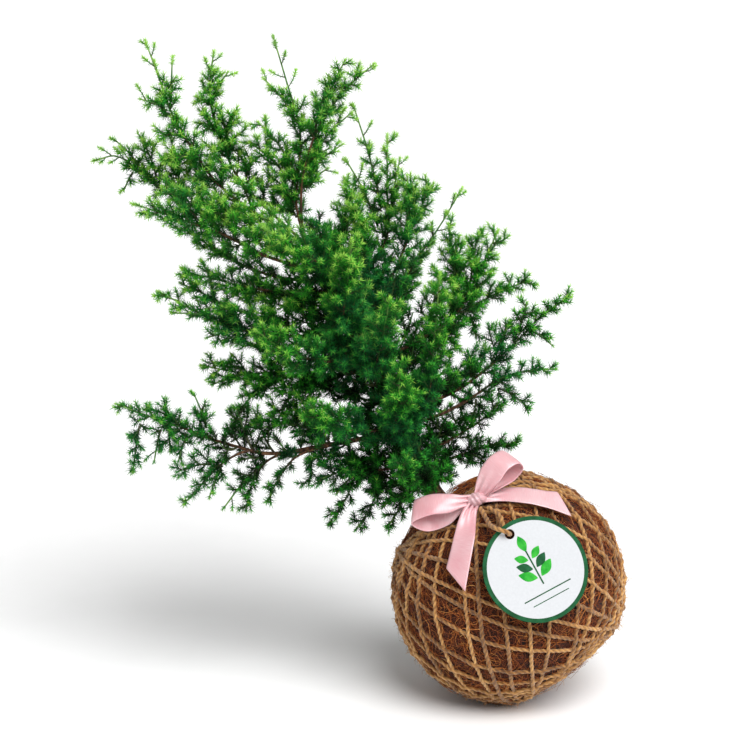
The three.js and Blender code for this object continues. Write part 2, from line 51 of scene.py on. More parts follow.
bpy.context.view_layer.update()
print("solids:", len(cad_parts))

# %% [markdown]
# ## Camera
# The picture is taken from a little above the table, about 15 degrees, with a long lens: the ball's
# outline is round and nothing swells toward the lens. Seen from 1.6 m away, the square picture is
# 375 mm wide at the plant. It aims at the plant's middle, so no shift is needed.

# %% Set up the camera
CAMERA_DISTANCE = 1600
CAMERA_TILT = math.radians(15)
PICTURE_WIDTH = 375
SENSOR_WIDTH = 36
AIM_LEFT = 67              # from the ball's middle to the picture's middle, as the camera sees it
AIM_UP = 106.5
ahead_of_camera = Vector((0, math.cos(CAMERA_TILT), -math.sin(CAMERA_TILT)))
up_of_camera = Vector((0, math.sin(CAMERA_TILT), math.cos(CAMERA_TILT)))
aim = Vector(BALL_CENTRE) - Vector((AIM_LEFT, 0, 0)) + AIM_UP * up_of_camera

lens_data = bpy.data.cameras.new("studio_camera")
lens_data.sensor_width = SENSOR_WIDTH
lens_data.lens = SENSOR_WIDTH * CAMERA_DISTANCE / PICTURE_WIDTH
lens_data.clip_end = 20
camera = bpy.data.objects.new("studio_camera", lens_data)
camera.location = (aim - CAMERA_DISTANCE * ahead_of_camera) * MM
camera.rotation_euler = (math.pi / 2 - CAMERA_TILT, 0, 0)
bpy.context.scene.collection.objects.link(camera)
bpy.context.scene.camera = camera
print("camera at", [round(x, 3) for x in camera.location])

# %% [markdown]
# ## Tools: shapes that are copied and bent
# Needles, fibres, twigs and twine are all one idea: a plain rod, bent onto a line. A rod is a grid
# that bmesh makes and rolls up. Thousands of bent copies go into one mesh as number arrays,
# because calling an operator for each of them would take minutes.

# %% A rolled rod and a heap of bent copies
Shape = namedtuple("Shape", "spots corners sizes uvs")


def read_shape(bm):
    """A small bmesh as arrays: places, face corners, corners per face and the corners' UVs."""
    bm.verts.index_update()
    uv = bm.loops.layers.uv.verify()
    corners = [corner for face in bm.faces for corner in face.loops]
    shape = Shape(
        np.array([vert.co[:] for vert in bm.verts]),
        np.array([corner.vert.index for corner in corners]),
        np.array([len(face.verts) for face in bm.faces]),
        np.array([corner[uv].uv[:] for corner in corners]),
    )
    bm.free()
    return shape


def rolled_rod(sides, steps, closed_ends=True):
    """A rod of radius 1 that stands from z = 0 to 1, with a ring of corners at every step."""
    bm = bmesh.new()
    bm.loops.layers.uv.new("weave")
    bmesh.ops.create_grid(bm, x_segments=sides, y_segments=steps, size=0.5, calc_uvs=True)
    for vert in bm.verts:
        turn = 2 * math.pi * (vert.co.x + 0.5)
        vert.co = (math.cos(turn), math.sin(turn), vert.co.y + 0.5)
    bmesh.ops.remove_doubles(bm, verts=bm.verts, dist=1e-4)
    if closed_ends:
        bmesh.ops.holes_fill(bm, edges=bm.edges, sides=0)
    bmesh.ops.recalc_face_normals(bm, faces=bm.faces)
    return read_shape(bm)


class Heap:
    """Bent copies of shapes, gathered into one mesh with a tint and a UV map."""

    def __init__(self):
        self.spots, self.corners, self.sizes, self.uvs, self.tints, self.skins = ([] for _ in range(6))
        self.count = 0

    def add(self, shape, spots, tint, skin=0, uvs=None):
        """spots is (copies, corners of the shape, 3) in mm; tint is a number, or one to a spot."""
        copies, size = spots.shape[:2]
        offset = self.count + size * np.arange(copies)[:, None]
        self.spots.append(spots.reshape(-1, 3))
        self.corners.append((shape.corners[None] + offset).ravel())
        self.sizes.append(np.tile(shape.sizes, copies))
        self.uvs.append(np.tile(shape.uvs, (copies, 1)) if uvs is None else uvs)
        self.tints.append(np.broadcast_to(tint, (copies, size)).ravel())
        self.skins.append(np.full(copies * len(shape.sizes), skin))
        self.count += copies * size

    def mesh(self, name):
        mesh = bpy.data.meshes.new(name)
        spots, corners, sizes = (np.concatenate(x) for x in (self.spots, self.corners, self.sizes))
        mesh.vertices.add(len(spots))
        mesh.vertices.foreach_set("co", (spots * MM).ravel())
        mesh.loops.add(len(corners))
        mesh.loops.foreach_set("vertex_index", corners)
        mesh.polygons.add(len(sizes))
        mesh.polygons.foreach_set("loop_start", np.cumsum(sizes) - sizes)
        mesh.polygons.foreach_set("material_index", np.concatenate(self.skins))
        mesh.uv_layers.new(name="weave").data.foreach_set("uv", np.concatenate(self.uvs).ravel())
        mesh.update(calc_edges=True)
        tint = mesh.attributes.new("tint", "FLOAT", "POINT")
        tint.data.foreach_set("value", np.concatenate(self.tints).astype(np.float32))
        return mesh


pieces_made = []


def finished(name, mesh, skins, nodes=(), smooth=True):
    """Makes a piece from a mesh: its materials and the nodes of the solids it replaces."""
    piece = bpy.data.objects.new(name, mesh)
    bpy.context.scene.collection.objects.link(piece)
    for skin in skins:
        mesh.materials.append(skin)
    mesh.polygons.foreach_set("use_smooth", np.full(len(mesh.polygons), smooth))
    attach(piece, "root")
    if nodes:
        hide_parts(*nodes)
    mesh.calc_loop_triangles()
    pieces_made.append((name, len(mesh.loop_triangles)))
    return piece


# %% [markdown]
# ## Tools: lines
# The solids' branches and cords follow centripetal Catmull-Rom curves: a smooth line through every
# given point, with no loops between close ones. The same curve here keeps each piece in its place.

# %% Smooth lines and the directions along them
def unit(vectors):
    return vectors / np.maximum(np.linalg.norm(vectors, axis=-1, keepdims=True), 1e-9)


def smooth_line(points, shares):
    """Points at the given shares (0 to 1) of the curve through all of the given points."""
    points = np.asarray(points, float)
    last = len(points) - 1
    padded = np.vstack([2 * points[0] - points[1], points, 2 * points[-1] - points[-2]])
    place = np.clip(np.atleast_1d(shares), 0, 1) * last
    stretch = np.minimum(place.astype(int), last - 1)
    w = (place - stretch)[:, None]
    a, b, c, d = (padded[stretch + k] for k in range(4))
    ab, bc, cd = (np.maximum(np.linalg.norm(q - p, axis=1), 1e-6)[:, None] ** 0.5
                  for p, q in ((a, b), (b, c), (c, d)))
    leave = ((b - a) / ab - (c - a) / (ab + bc) + (c - b) / bc) * bc
    arrive = ((c - b) / bc - (d - b) / (bc + cd) + (d - c) / cd) * bc
    return (b + leave * w + (3 * (c - b) - 2 * leave - arrive) * w ** 2
            + (2 * (b - c) + leave + arrive) * w ** 3)


def line_length(line):
    return np.linalg.norm(np.diff(line, axis=-2), axis=-1).sum(axis=-1)


def even_line(points, count):
    """The same curve, as count points an equal length apart."""
    fine = smooth_line(points, np.linspace(0, 1, 40 * len(points)))
    run = np.concatenate([[0], np.cumsum(np.linalg.norm(np.diff(fine, axis=0), axis=1))])
    marks = np.linspace(0, run[-1], count)
    return np.stack([np.interp(marks, run, fine[:, k]) for k in range(3)], axis=1)


def frames_along(lines):
    """Three square directions at each point of (n, k, 3) lines: ahead, across and out, untwisted."""
    ahead = unit(np.gradient(lines, axis=1))
    side = np.where(np.abs(ahead[:, 0, 2:]) < 0.9, [[0.0, 0.0, 1.0]], [[1.0, 0.0, 0.0]])
    across = np.empty_like(ahead)
    for k in range(lines.shape[1]):
        side = unit(side - (side * ahead[:, k]).sum(axis=1, keepdims=True) * ahead[:, k])
        across[:, k] = side
    return ahead, across, np.cross(ahead, across)


def bent(rod, lines, radii, profile=None, twist=0):
    """A copy of the rod along each line. profile(turn, ring) shapes its section; twist turns it."""
    steps = lines.shape[1] - 1
    ring = np.rint(rod.spots[:, 2] * steps).astype(int)
    turn = np.arctan2(rod.spots[:, 1], rod.spots[:, 0])
    _, across, out = frames_along(lines)
    size = np.broadcast_to(radii, lines.shape[:2])[:, ring]
    if profile is not None:
        size = size * profile(turn, ring)
    spun = turn + np.broadcast_to(twist, (steps + 1,))[ring]
    return (lines[:, ring] + across[:, ring] * (size * np.cos(spun))[..., None]
            + out[:, ring] * (size * np.sin(spun))[..., None])


# %% [markdown]
# ## Tools: materials
# Each material starts from the real one: its name says what it is and how it was made. Colours are
# picked as sRGB hex values, as from a paint chart, and one function makes them linear for the
# shader. The other functions add a node, or the few nodes that every material here needs.

# %% Colour and node helpers
def paint(hex_colour):
    """An sRGB hex value as linear red, green, blue and alpha."""
    channels = [int(hex_colour[k:k + 2], 16) / 255 for k in (1, 3, 5)]
    return [c / 12.92 if c <= 0.04045 else ((c + 0.055) / 1.055) ** 2.4 for c in channels] + [1.0]


def new_material(name, **shader_values):
    """A material with its shader set; returns it, its node tree and the shader."""
    material = bpy.data.materials.new(name)
    material.use_nodes = True
    tree = material.node_tree
    shader = tree.nodes["Principled BSDF"]
    for key, value in shader_values.items():
        shader.inputs[key.replace("_", " ")].default_value = value
    return material, tree, shader


def add_node(tree, kind, inputs=None, **settings):
    """One node: its properties, and its inputs as values or as links."""
    made = tree.nodes.new(kind)
    for key, value in settings.items():
        setattr(made, key, value)
    for key, value in (inputs or {}).items():
        if isinstance(value, bpy.types.NodeSocket):
            tree.links.new(value, made.inputs[key])
        else:
            made.inputs[key].default_value = value
    return made


def object_spot(tree):
    """The place on the object in metres: a pattern of scale 500 on it has waves 1/500 m wide."""
    return add_node(tree, "ShaderNodeTexCoord").outputs["Object"]


def mesh_tint(tree):
    """The tint that Heap.add gave to the mesh."""
    return add_node(tree, "ShaderNodeAttribute", attribute_name="tint").outputs["Fac"]


def woven_uv(tree):
    """The UV map that runs round and along a rod, or across and along the ribbon."""
    return add_node(tree, "ShaderNodeUVMap", uv_map="weave").outputs["UV"]


def stretched(tree, vector, **settings):
    """The vector with another Scale or Rotation, so that a pattern on it is drawn out or slants."""
    return add_node(tree, "ShaderNodeMapping", {"Vector": vector, **settings}).outputs["Vector"]


def noise_on(tree, vector, scale, detail, roughness=0.5):
    """Noise from 0 to 1 on a vector; each step of detail adds a pattern half as wide."""
    return add_node(tree, "ShaderNodeTexNoise", {"Vector": vector, "Scale": scale, "Detail": detail,
                                                 "Roughness": roughness}).outputs["Fac"]


def reckoned(tree, operation, *values):
    """A sum on one to three values or sockets."""
    return add_node(tree, "ShaderNodeMath", dict(enumerate(values)), operation=operation).outputs[0]


def mapped(tree, value, low, high, to_low=0.0, to_high=1.0):
    """A value whose range low to high becomes the range to_low to to_high."""
    return add_node(tree, "ShaderNodeMapRange", {"Value": value, "From Min": low, "From Max": high,
                                                 "To Min": to_low, "To Max": to_high}).outputs[0]


def ramp(tree, factor, *stops):
    """The colour at a factor between (position, hex colour) stops."""
    made = add_node(tree, "ShaderNodeValToRGB", {"Fac": factor})
    elements = made.color_ramp.elements
    while len(elements) < len(stops):
        elements.new(1)
    for element, (position, colour) in zip(elements, stops):
        element.position = position
        element.color = paint(colour)
    return made.outputs["Color"]


def mixed_colour(tree, factor, first, second):
    """Between two colours; 0, 6 and 7 are the sockets of a colour mix, and 2 is its result."""
    inputs = {0: factor, 6: first, 7: second}
    return add_node(tree, "ShaderNodeMix", inputs, data_type="RGBA").outputs[2]


def surface(tree, shader, colour, relief=None, strength=1.0, rise=1.0):
    """Gives the shader its colour and, where there is a relief, a bump that rises rise metres."""
    tree.links.new(colour, shader.inputs["Base Color"])
    if relief is not None:
        bump = add_node(tree, "ShaderNodeBump", {"Height": relief, "Strength": strength,
                                                 "Distance": rise})
        tree.links.new(bump.outputs["Normal"], shader.inputs["Normal"])


# %% [markdown]
# ## Jute twine
# Jute is a dry, straw-coloured bast fibre. Two yarns are twisted together, so the twine has a
# slanting groove, and it is matt and a little hairy. The groove is in the mesh, and the mesh's tint
# paints shade into it; the material draws the fibres that slant along each yarn, from the UV map
# that runs along and round the twine.

# %% Make the jute material
jute, tree, shader = new_material("spun_jute_two_ply", Roughness=0.88, Sheen_Weight=0.25,
                                  Sheen_Roughness=0.6)
# One wave is 0.8 mm across the twine and 1.5 mm along it. Its finest detail is a sixteenth of that,
# as fine as a fibre.
slant = stretched(tree, woven_uv(tree), Scale=(6, 1.1, 1), Rotation=(0, 0, 0.5))
strands = noise_on(tree, slant, 1.4, 4, 0.7)
patches = noise_on(tree, object_spot(tree), 90, 3)
# The mesh's tint is lower in the groove between the yarns, which is painted shade, and gives each turn
# of the net and each hair its own tone.
shade = reckoned(tree, "ADD", reckoned(tree, "ADD", strands, mesh_tint(tree)), patches)
colour = ramp(tree, mapped(tree, shade, 0.75, 2.05),
              (0.0, "#3c200b"), (0.35, "#784e20"), (0.65, "#ae7c40"), (1.0, "#dcb06d"))
surface(tree, shader, colour, strands, 0.5, 0.0003)
print("material", jute.name)

# %% [markdown]
# ## The tag's twine
# The tag hangs on one piece of twine that comes out under the knot, goes over the card's edge, in
# at its hole and back up behind it. It is a free cord, so it comes first: its length is settled by
# the photographed loop. A rod with a two-lobed section that turns as it goes gives the twist.

# %% Lay the tag's twine along its route
KNOT = np.array([-17.6, -26.6, 109.9])
BOW_TILT = math.radians(75)
CORD_DIAMETER = 2.4
CORD_TWIST = 6.5           # mm of twine to one full turn of its two yarns
CORD_SIDES = 14
CORD_STEPS = 220
TAG_TWINE_ROUTE = [
    (2, -4.5, 2.7), (4.3, -8.8, 8.2), (6.3, -12.1, 13.6), (8, -13.2, 18.4), (10.9, -14.2, 20.9),
    (14.1, -15.3, 20.8), (15.5, -16.4, 17.6), (14.7, -15.7, 14.6), (12.4, -12.2, 13.3),
    (11.4, -8.4, 10.6), (9, -6.2, 7.4), (5.6, -4, 3.8),
]


def from_bow(points):
    """Points of the bow's frame (right, up its face, toward the front) in the object's frame."""
    x, y, z = np.moveaxis(np.asarray(points, float), -1, 0)
    cos, sin = math.cos(BOW_TILT), math.sin(BOW_TILT)
    return KNOT + np.stack([x, y * cos - z * sin, y * sin + z * cos], axis=-1)


def two_lobes(turn, ring):
    """A section like a figure of eight, for bent: the groove is 0.72 of the lobes' radius."""
    return 0.72 + 0.28 * np.abs(np.cos(turn))


route = from_bow(even_line(TAG_TWINE_ROUTE, CORD_STEPS + 1))
cord_length = line_length(route)
cord_spin = 2 * math.pi * np.linspace(0, cord_length, CORD_STEPS + 1) / CORD_TWIST
cord_rod = rolled_rod(CORD_SIDES, CORD_STEPS)
# Painted shade: the tint is lowest in the groove between the two yarns and highest on their crowns.
groove_shade_tint = 0.12 + 0.5 * np.abs(cord_rod.spots[None, :, 0])
cord = Heap()
cord.add(cord_rod, bent(cord_rod, route[None], CORD_DIAMETER / 2, two_lobes, cord_spin), groove_shade_tint,
         uvs=cord_rod.uvs * [1, cord_length / CORD_DIAMETER])
tag_cord = finished("tag_cord", cord.mesh("tag_cord"), [jute], ["tag_twine"])
print(f"tag twine: {cord_length:.1f} mm long")

# %% [markdown]
# ## Coir
# Coir is the coarse, springy fibre of coconut husk: reddish brown, darker deep down and straw
# coloured where a strand catches the light. The mat under the fibres is drawn as a dark tangle,
# its gaps darkened with painted shade, and every loose fibre on it has its own tint from the mesh.

# %% Make the coir materials
coir_mat_skin, tree, shader = new_material("pressed_coir_mat", Roughness=0.95)
spot = object_spot(tree)
warp = add_node(tree, "ShaderNodeTexNoise", {"Vector": spot, "Scale": 220, "Detail": 2})
nudge = add_node(tree, "ShaderNodeVectorMath", {0: warp.outputs["Color"], 1: (0.006,) * 3},
                 operation="MULTIPLY")
bent_spot = add_node(tree, "ShaderNodeVectorMath", {0: spot, 1: nudge.outputs[0]}, operation="ADD")
# Coir fibres are 0.2 to 0.4 mm wide and lie 1 to 2 mm apart: the tangle's cells are 1.7 mm.
tangle = add_node(tree, "ShaderNodeTexVoronoi", {"Vector": bent_spot.outputs[0], "Scale": 600},
                  feature="DISTANCE_TO_EDGE")
# The strands are light and the cells between them dark: painted shade in the gaps of the mat.
strand_and_gap_shade = mapped(tree, tangle.outputs["Distance"], 0.0, 0.25, 1.0, 0.0)
strand_and_gap_shade = reckoned(tree, "MULTIPLY", strand_and_gap_shade, noise_on(tree, spot, 1400, 3))
colour = ramp(tree, strand_and_gap_shade, (0.0, "#110501"), (0.4, "#491b06"), (0.8, "#8d4614"))
surface(tree, shader, colour, strand_and_gap_shade, 0.9, 0.0008)

coir_fibre_skin, tree, shader = new_material("loose_coir_fibre", Roughness=0.75)
grain = noise_on(tree, object_spot(tree), 900, 2)
colour = ramp(tree, reckoned(tree, "MULTIPLY_ADD", grain, 0.5, mesh_tint(tree)),
              (0.2, "#280d03"), (0.5, "#7c350d"), (0.8, "#c4712a"), (1.0, "#e6a558"))
surface(tree, shader, colour, grain, 0.4, 0.0002)
print("materials", coir_mat_skin.name, coir_fibre_skin.name)

# %% [markdown]
# ## The coir mat
# The mat is a ball with a mouth where the trunk comes out, a little shorter at the pole below the
# roots, and pressed flat where it sits on the table. A UV sphere with its pole on the growth axis
# gives the mouth by leaving out the cap; solidify gives the wall; noise gives the lumps.

# %% Shape the coir mat
GROWTH_AXIS = unit(np.array([-0.616, 0.204, 0.761]))
MAT_RADIUS = 56.6
MAT_THICKNESS = 9
MAT_LUMPS = ((16, 0.7), (4.5, 0.55), (1.8, 0.35))      # how wide and how high
MOUTH_RADIUS = 13.5
POLE_DIP = 6.6             # the mat is this much nearer the middle at the pole below the roots
POLE_DIP_WIDTH = math.radians(32)
FLAT_SPOT_HEIGHT = 0.5
to_ball = np.array(Vector((0, 0, 1)).rotation_difference(Vector(GROWTH_AXIS)).to_matrix())


def mat_radius(directions):
    """How far the mat's surface is from the ball's centre, in a direction."""
    from_pole = math.pi - np.arccos(np.clip(directions @ GROWTH_AXIS, -1, 1))
    return MAT_RADIUS - POLE_DIP * np.exp(-(from_pole / POLE_DIP_WIDTH) ** 2)


def lumps(point, size):
    """Smooth noise from -1 to 1 whose lumps are about size mm wide."""
    return noise.noise(Vector(point) / size)


bm = bmesh.new()
bmesh.ops.create_uvsphere(bm, u_segments=120, v_segments=84, radius=1)
mouth = math.cos(MOUTH_RADIUS / MAT_RADIUS)
bmesh.ops.delete(bm, geom=[v for v in bm.verts if v.co.z > mouth], context="VERTS")
for vert in bm.verts:
    heading = to_ball @ np.array(vert.co)
    point = BALL_CENTRE + heading * mat_radius(heading)
    point += heading * sum(height * lumps(point, width) for width, height in MAT_LUMPS)
    point[2] = max(point[2], FLAT_SPOT_HEIGHT + 0.3 * lumps(point, 5))
    vert.co = point * MM
bmesh.ops.recalc_face_normals(bm, faces=bm.faces)
bmesh.ops.solidify(bm, geom=bm.faces[:], thickness=MAT_THICKNESS * MM)
mesh = bpy.data.meshes.new("coir_mat")
bm.to_mesh(mesh)
bm.free()
finished("coir_mat", mesh, [coir_mat_skin], ["coir_wrap"])
print("coir mat:", len(mesh.polygons), "faces")

# %% [markdown]
# ## Soil
# Only a coin's width of dark potting soil shows, round the trunk. It is damp and crumbly: an
# icosphere pushed about by noise in two sizes gives the crumbs a real outline.

# %% Make the soil
soil_skin, tree, shader = new_material("damp_potting_soil", Roughness=0.97)
# Crumbs of 1 to 3 mm. Each is lighter in its middle and darker toward the crevices round it: painted
# shade.
crumbs = add_node(tree, "ShaderNodeTexVoronoi", {"Vector": object_spot(tree), "Scale": 550})
crumbs = crumbs.outputs["Distance"]
colour = ramp(tree, crumbs, (0.0, "#4a3524"), (0.5, "#2c1d12"), (1.0, "#120b06"))
surface(tree, shader, colour, crumbs, 0.8, -0.001)

SOIL_RADIUS = 46
SOIL_RISE = 4.5            # how much higher the soil stands in the mat's mouth
SOIL_FOOT = 10
bm = bmesh.new()
bmesh.ops.create_icosphere(bm, subdivisions=5, radius=1)
for vert in bm.verts:
    heading = np.array(vert.co)
    point = BALL_CENTRE + heading * (SOIL_RADIUS + mat_radius(heading) - MAT_RADIUS)
    in_mouth = max(0.0, float(heading @ GROWTH_AXIS) - 0.93) / 0.07
    point += heading * (SOIL_RISE * in_mouth + 0.8 * lumps(point, 5) + 0.6 * lumps(point, 2))
    point[2] = max(point[2], SOIL_FOOT)
    vert.co = point * MM
mesh = bpy.data.meshes.new("soil_lump")
bm.to_mesh(mesh)
bm.free()
finished("soil_lump", mesh, [soil_skin], ["soil_ball"])
print("soil:", len(mesh.polygons), "faces")

# %% [markdown]
# ## Loose coir fibres
# What the eye reads as coir is thousands of curly strands on the mat. Each one is a thin rod that
# wanders over the ball: it keeps turning one way, so it curls, and it rises and dips a little.
# Some lift off at an end and break the outline, as they do in life.

# %% Scatter the loose fibres
FIBRES = 7600
FIBRE_STEPS = 6
FIBRE_SEAT = 0.55          # how far above the mat their middle lines lie, on average
FIBRE_CURL = 0.16          # how far they turn, in radians to a mm
FREE_END_SHARE = 0.06      # of the fibres, those that lift off at an end
CLEAR_OF_MOUTH = 0.965     # the cosine of the angle round the growth axis that has none
TWINE_TOP = 59.6           # from the ball's middle
TAG_COVER = 27             # the radius that the tag covers
TAIL_COVER = 7.5           # half the width that a ribbon's tail covers
# The middle lines of the ribbon's two tails, as seen on the bow's face, in mm from the knot.
TAIL_LINES = [((4, 1.8), (44, -2.6)), ((-2, -4), (-10.4, -40))]
# The way that the tag faces, which is also the way to it from the ball's middle.
TAG_FACE = np.array([0.170, -0.875, 0.454])
draw = np.random.default_rng(11)


def wandering_lines(starts, lengths, climb):
    """Lines over the ball from the start directions: they curl, and their ends climb off it."""
    count = len(starts)
    heading = unit(np.cross(starts, draw.normal(size=(count, 3))))
    turning = draw.normal(0, FIBRE_CURL, count)
    turning += np.where(draw.random(count) < 0.5, 1, -1) * FIBRE_CURL
    direction, lines = starts, []
    lift = draw.normal(0, 0.35, count) + FIBRE_SEAT
    slope = draw.normal(0, 0.04, count)
    step = lengths / FIBRE_STEPS
    for k in range(FIBRE_STEPS + 1):
        height = lift + slope * step * k + climb * (k / FIBRE_STEPS) ** 2
        lines.append(BALL_CENTRE + direction * (mat_radius(direction) + height)[:, None])
        angle = (turning + draw.normal(0, 0.12, count)) * step
        sideways = np.cross(direction, heading)
        heading = heading * np.cos(angle)[:, None] + sideways * np.sin(angle)[:, None]
        direction = unit(direction + heading * (step / MAT_RADIUS)[:, None])
        heading = unit(heading - (heading * direction).sum(axis=1, keepdims=True) * direction)
    return np.stack(lines, axis=1)


def above_table(spots, height):
    """Nothing goes through the table: whatever would is pressed flat on it."""
    spots[..., 2] = np.maximum(spots[..., 2], height)
    return spots


def held_down(spots):
    """Under the ribbon's tails and the tag no fibre stands higher than the twine does."""
    bow_up = from_bow([0, 1, 0]) - KNOT
    x, y = (spots - KNOT)[..., 0], (spots - KNOT) @ bow_up
    away = spots - BALL_CENTRE
    height = away @ TAG_FACE
    covered = np.linalg.norm(away - height[..., None] * TAG_FACE, axis=-1) < TAG_COVER
    for (x0, y0), (x1, y1) in TAIL_LINES:
        share = ((x - x0) * (x1 - x0) + (y - y0) * (y1 - y0)) / ((x1 - x0) ** 2 + (y1 - y0) ** 2)
        share = np.clip(share, 0, 1)
        covered |= np.hypot(x - x0 - share * (x1 - x0), y - y0 - share * (y1 - y0)) < TAIL_COVER
    covered &= height > 0
    reach = np.linalg.norm(away, axis=-1)
    return BALL_CENTRE + away * np.where(covered, np.minimum(1, TWINE_TOP / reach), 1)[..., None]


starts = unit(draw.normal(size=(FIBRES * 2, 3)))
starts = starts[starts @ GROWTH_AXIS < CLEAR_OF_MOUTH][:FIBRES]
lengths = draw.uniform(8, 24, FIBRES)
lifts_off = draw.random(FIBRES) < FREE_END_SHARE
climb = np.where(lifts_off, draw.uniform(1, 3.2, FIBRES), draw.uniform(0, 0.7, FIBRES))
lines = above_table(wandering_lines(starts, lengths, climb), 0.3)
thick = draw.uniform(0.10, 0.19, FIBRES)[:, None] * np.linspace(1, 0.45, FIBRE_STEPS + 1)
fibre_tint = np.clip(draw.normal(0.32, 0.16, FIBRES), 0, 0.75)
fibre_rod = rolled_rod(3, FIBRE_STEPS)
for part, chosen in zip("ab", np.array_split(np.arange(FIBRES), 2)):
    fibres = Heap()
    spots = above_table(held_down(bent(fibre_rod, lines[chosen], thick[chosen])), 0)
    fibres.add(fibre_rod, spots, fibre_tint[chosen][:, None])
    finished(f"coir_fibres_{part}", fibres.mesh("coir_fibres"), [coir_fibre_skin])
print("loose fibres:", FIBRES, "longest", round(float(line_length(lines).max()), 1), "mm")

# %% [markdown]
# ## The net of twine
# The ball is held by one long twine, wound in 26 near great circles, each turned on a little from
# the last, so that they cross in diamonds and crowd together round both poles. At a crossing the
# later turn rides over the earlier one: the angle between the two planes says where and how far.

# %% Wind the net
TURNS = 26
TWINE_RADIUS = 1.05
TWINE_STEPS = 440
TWINE_SEAT = 0.85          # the middle of the twine above the mat
FIRST_SPIN = math.radians(21)
SPIN_PLAY = 0.55           # how unevenly the turns are spaced, where 1 is a whole space
TILT = 30                  # degrees from a turn's plane to the growth axis, at most
TILT_PLAY = 4
TURN_SKIP = 7              # the winder moves on by so many places after each turn
CROSSING_RISE = 0.95
RISE_LIMIT = 1.7
HUMP_REACH = 3.4           # mm that a hump runs on past the twine that it crosses
HUMP_REACH_LIMIT = 12
draw = np.random.default_rng(23)
spins = np.arange(TURNS) + SPIN_PLAY * (draw.random(TURNS) - 0.5)
spins = FIRST_SPIN + 2 * np.pi * spins / TURNS
tilts = np.radians(TILT + draw.uniform(-TILT_PLAY, TILT_PLAY, TURNS))
order = (np.arange(TURNS) * TURN_SKIP) % TURNS
spins, tilts = spins[order], tilts[order]
# The growth axis is local Z here. A turn's plane normal leans 90 - tilt from that axis.
normals = np.stack([np.cos(tilts) * np.sin(spins), np.cos(tilts) * np.cos(spins), np.sin(tilts)],
                   axis=1)
normals = normals @ to_ball.T
round_it = np.linspace(0, 2 * np.pi, TWINE_STEPS + 1)
nets, turn_lines = [], []
for i, normal in enumerate(normals):
    first = unit(np.cross(normal, GROWTH_AXIS))
    second = np.cross(normal, first)
    rise = np.zeros(TWINE_STEPS + 1)
    for earlier_normal, (earlier_first, earlier_second, earlier_rise) in zip(normals, nets):
        crossing = np.cross(normal, earlier_normal)
        sharpness = np.linalg.norm(crossing)
        width = min(HUMP_REACH_LIMIT, TWINE_RADIUS / sharpness + HUMP_REACH) / MAT_RADIUS
        for way in (crossing / sharpness, -crossing / sharpness):
            here = math.atan2(way @ second, way @ first)
            there = math.atan2(way @ earlier_second, way @ earlier_first) % (2 * np.pi)
            under = earlier_rise[int(round(there / (2 * np.pi) * TWINE_STEPS))]
            gap = np.abs((round_it - here + np.pi) % (2 * np.pi) - np.pi) / width
            height = min(RISE_LIMIT, under + CROSSING_RISE)
            rise = np.maximum(rise, height * np.cos(np.minimum(gap, 1) * np.pi / 2) ** 2)
    nets.append((first, second, rise))
for first, second, rise in nets:
    wander = (0.010 * np.sin(3 * round_it + 5 * first[0])
              + 0.006 * np.sin(7 * round_it + 9 * second[1]))
    side = np.cross(first, second)
    way = unit(np.cos(round_it)[:, None] * first + np.sin(round_it)[:, None] * second
               + wander[:, None] * side)
    turn_lines.append(BALL_CENTRE + way * (mat_radius(way) + TWINE_SEAT + rise)[:, None])
turn_lines = above_table(np.stack(turn_lines), TWINE_RADIUS * 0.9)
print("turns of twine:", TURNS, "about", round(float(line_length(turn_lines).sum() / 1000), 2), "m")

# %% Give the net its two-ply mesh
PLY_TWIST = 6.6            # mm of twine to one turn of its two yarns
UV_REPEATS = 155           # of the jute's pattern along a turn
twine_rod = rolled_rod(8, TWINE_STEPS, closed_ends=False)
ply_turns = np.round(2 * np.pi * (MAT_RADIUS + 1) / PLY_TWIST)
ply_phase = 2 * np.pi * ply_turns * np.arange(TWINE_STEPS + 1) / TWINE_STEPS


def two_yarns(turn, ring):
    """The section of the net's twine, for bent: two shallow lobes that turn along it."""
    return 0.92 + 0.17 * np.cos(2 * (turn - ply_phase[ring]))


net = Heap()
spots = bent(twine_rod, turn_lines, TWINE_RADIUS * draw.uniform(0.88, 1.08, (TURNS, 1)), two_yarns)
rod_turn = np.arctan2(twine_rod.spots[:, 1], twine_rod.spots[:, 0])
rod_ring = np.rint(twine_rod.spots[:, 2] * TWINE_STEPS).astype(int)
# Painted shade: the tint is lower in the groove between the two yarns, where the section is narrowest.
painted_groove_shade = 0.20 * np.cos(2 * (rod_turn - ply_phase[rod_ring]))
net.add(twine_rod, above_table(spots, 0), draw.uniform(0.25, 0.6, (TURNS, 1)) + painted_groove_shade,
        uvs=np.tile(twine_rod.uvs, (TURNS, 1)) * [1, UV_REPEATS])
mesh = net.mesh("net_twine")
bm = bmesh.new()
bm.from_mesh(mesh)
bmesh.ops.remove_doubles(bm, verts=bm.verts, dist=0.02 * MM)
bm.to_mesh(mesh)
bm.free()
net_twine = finished("net_twine", mesh, [jute], ["jute_twine"])

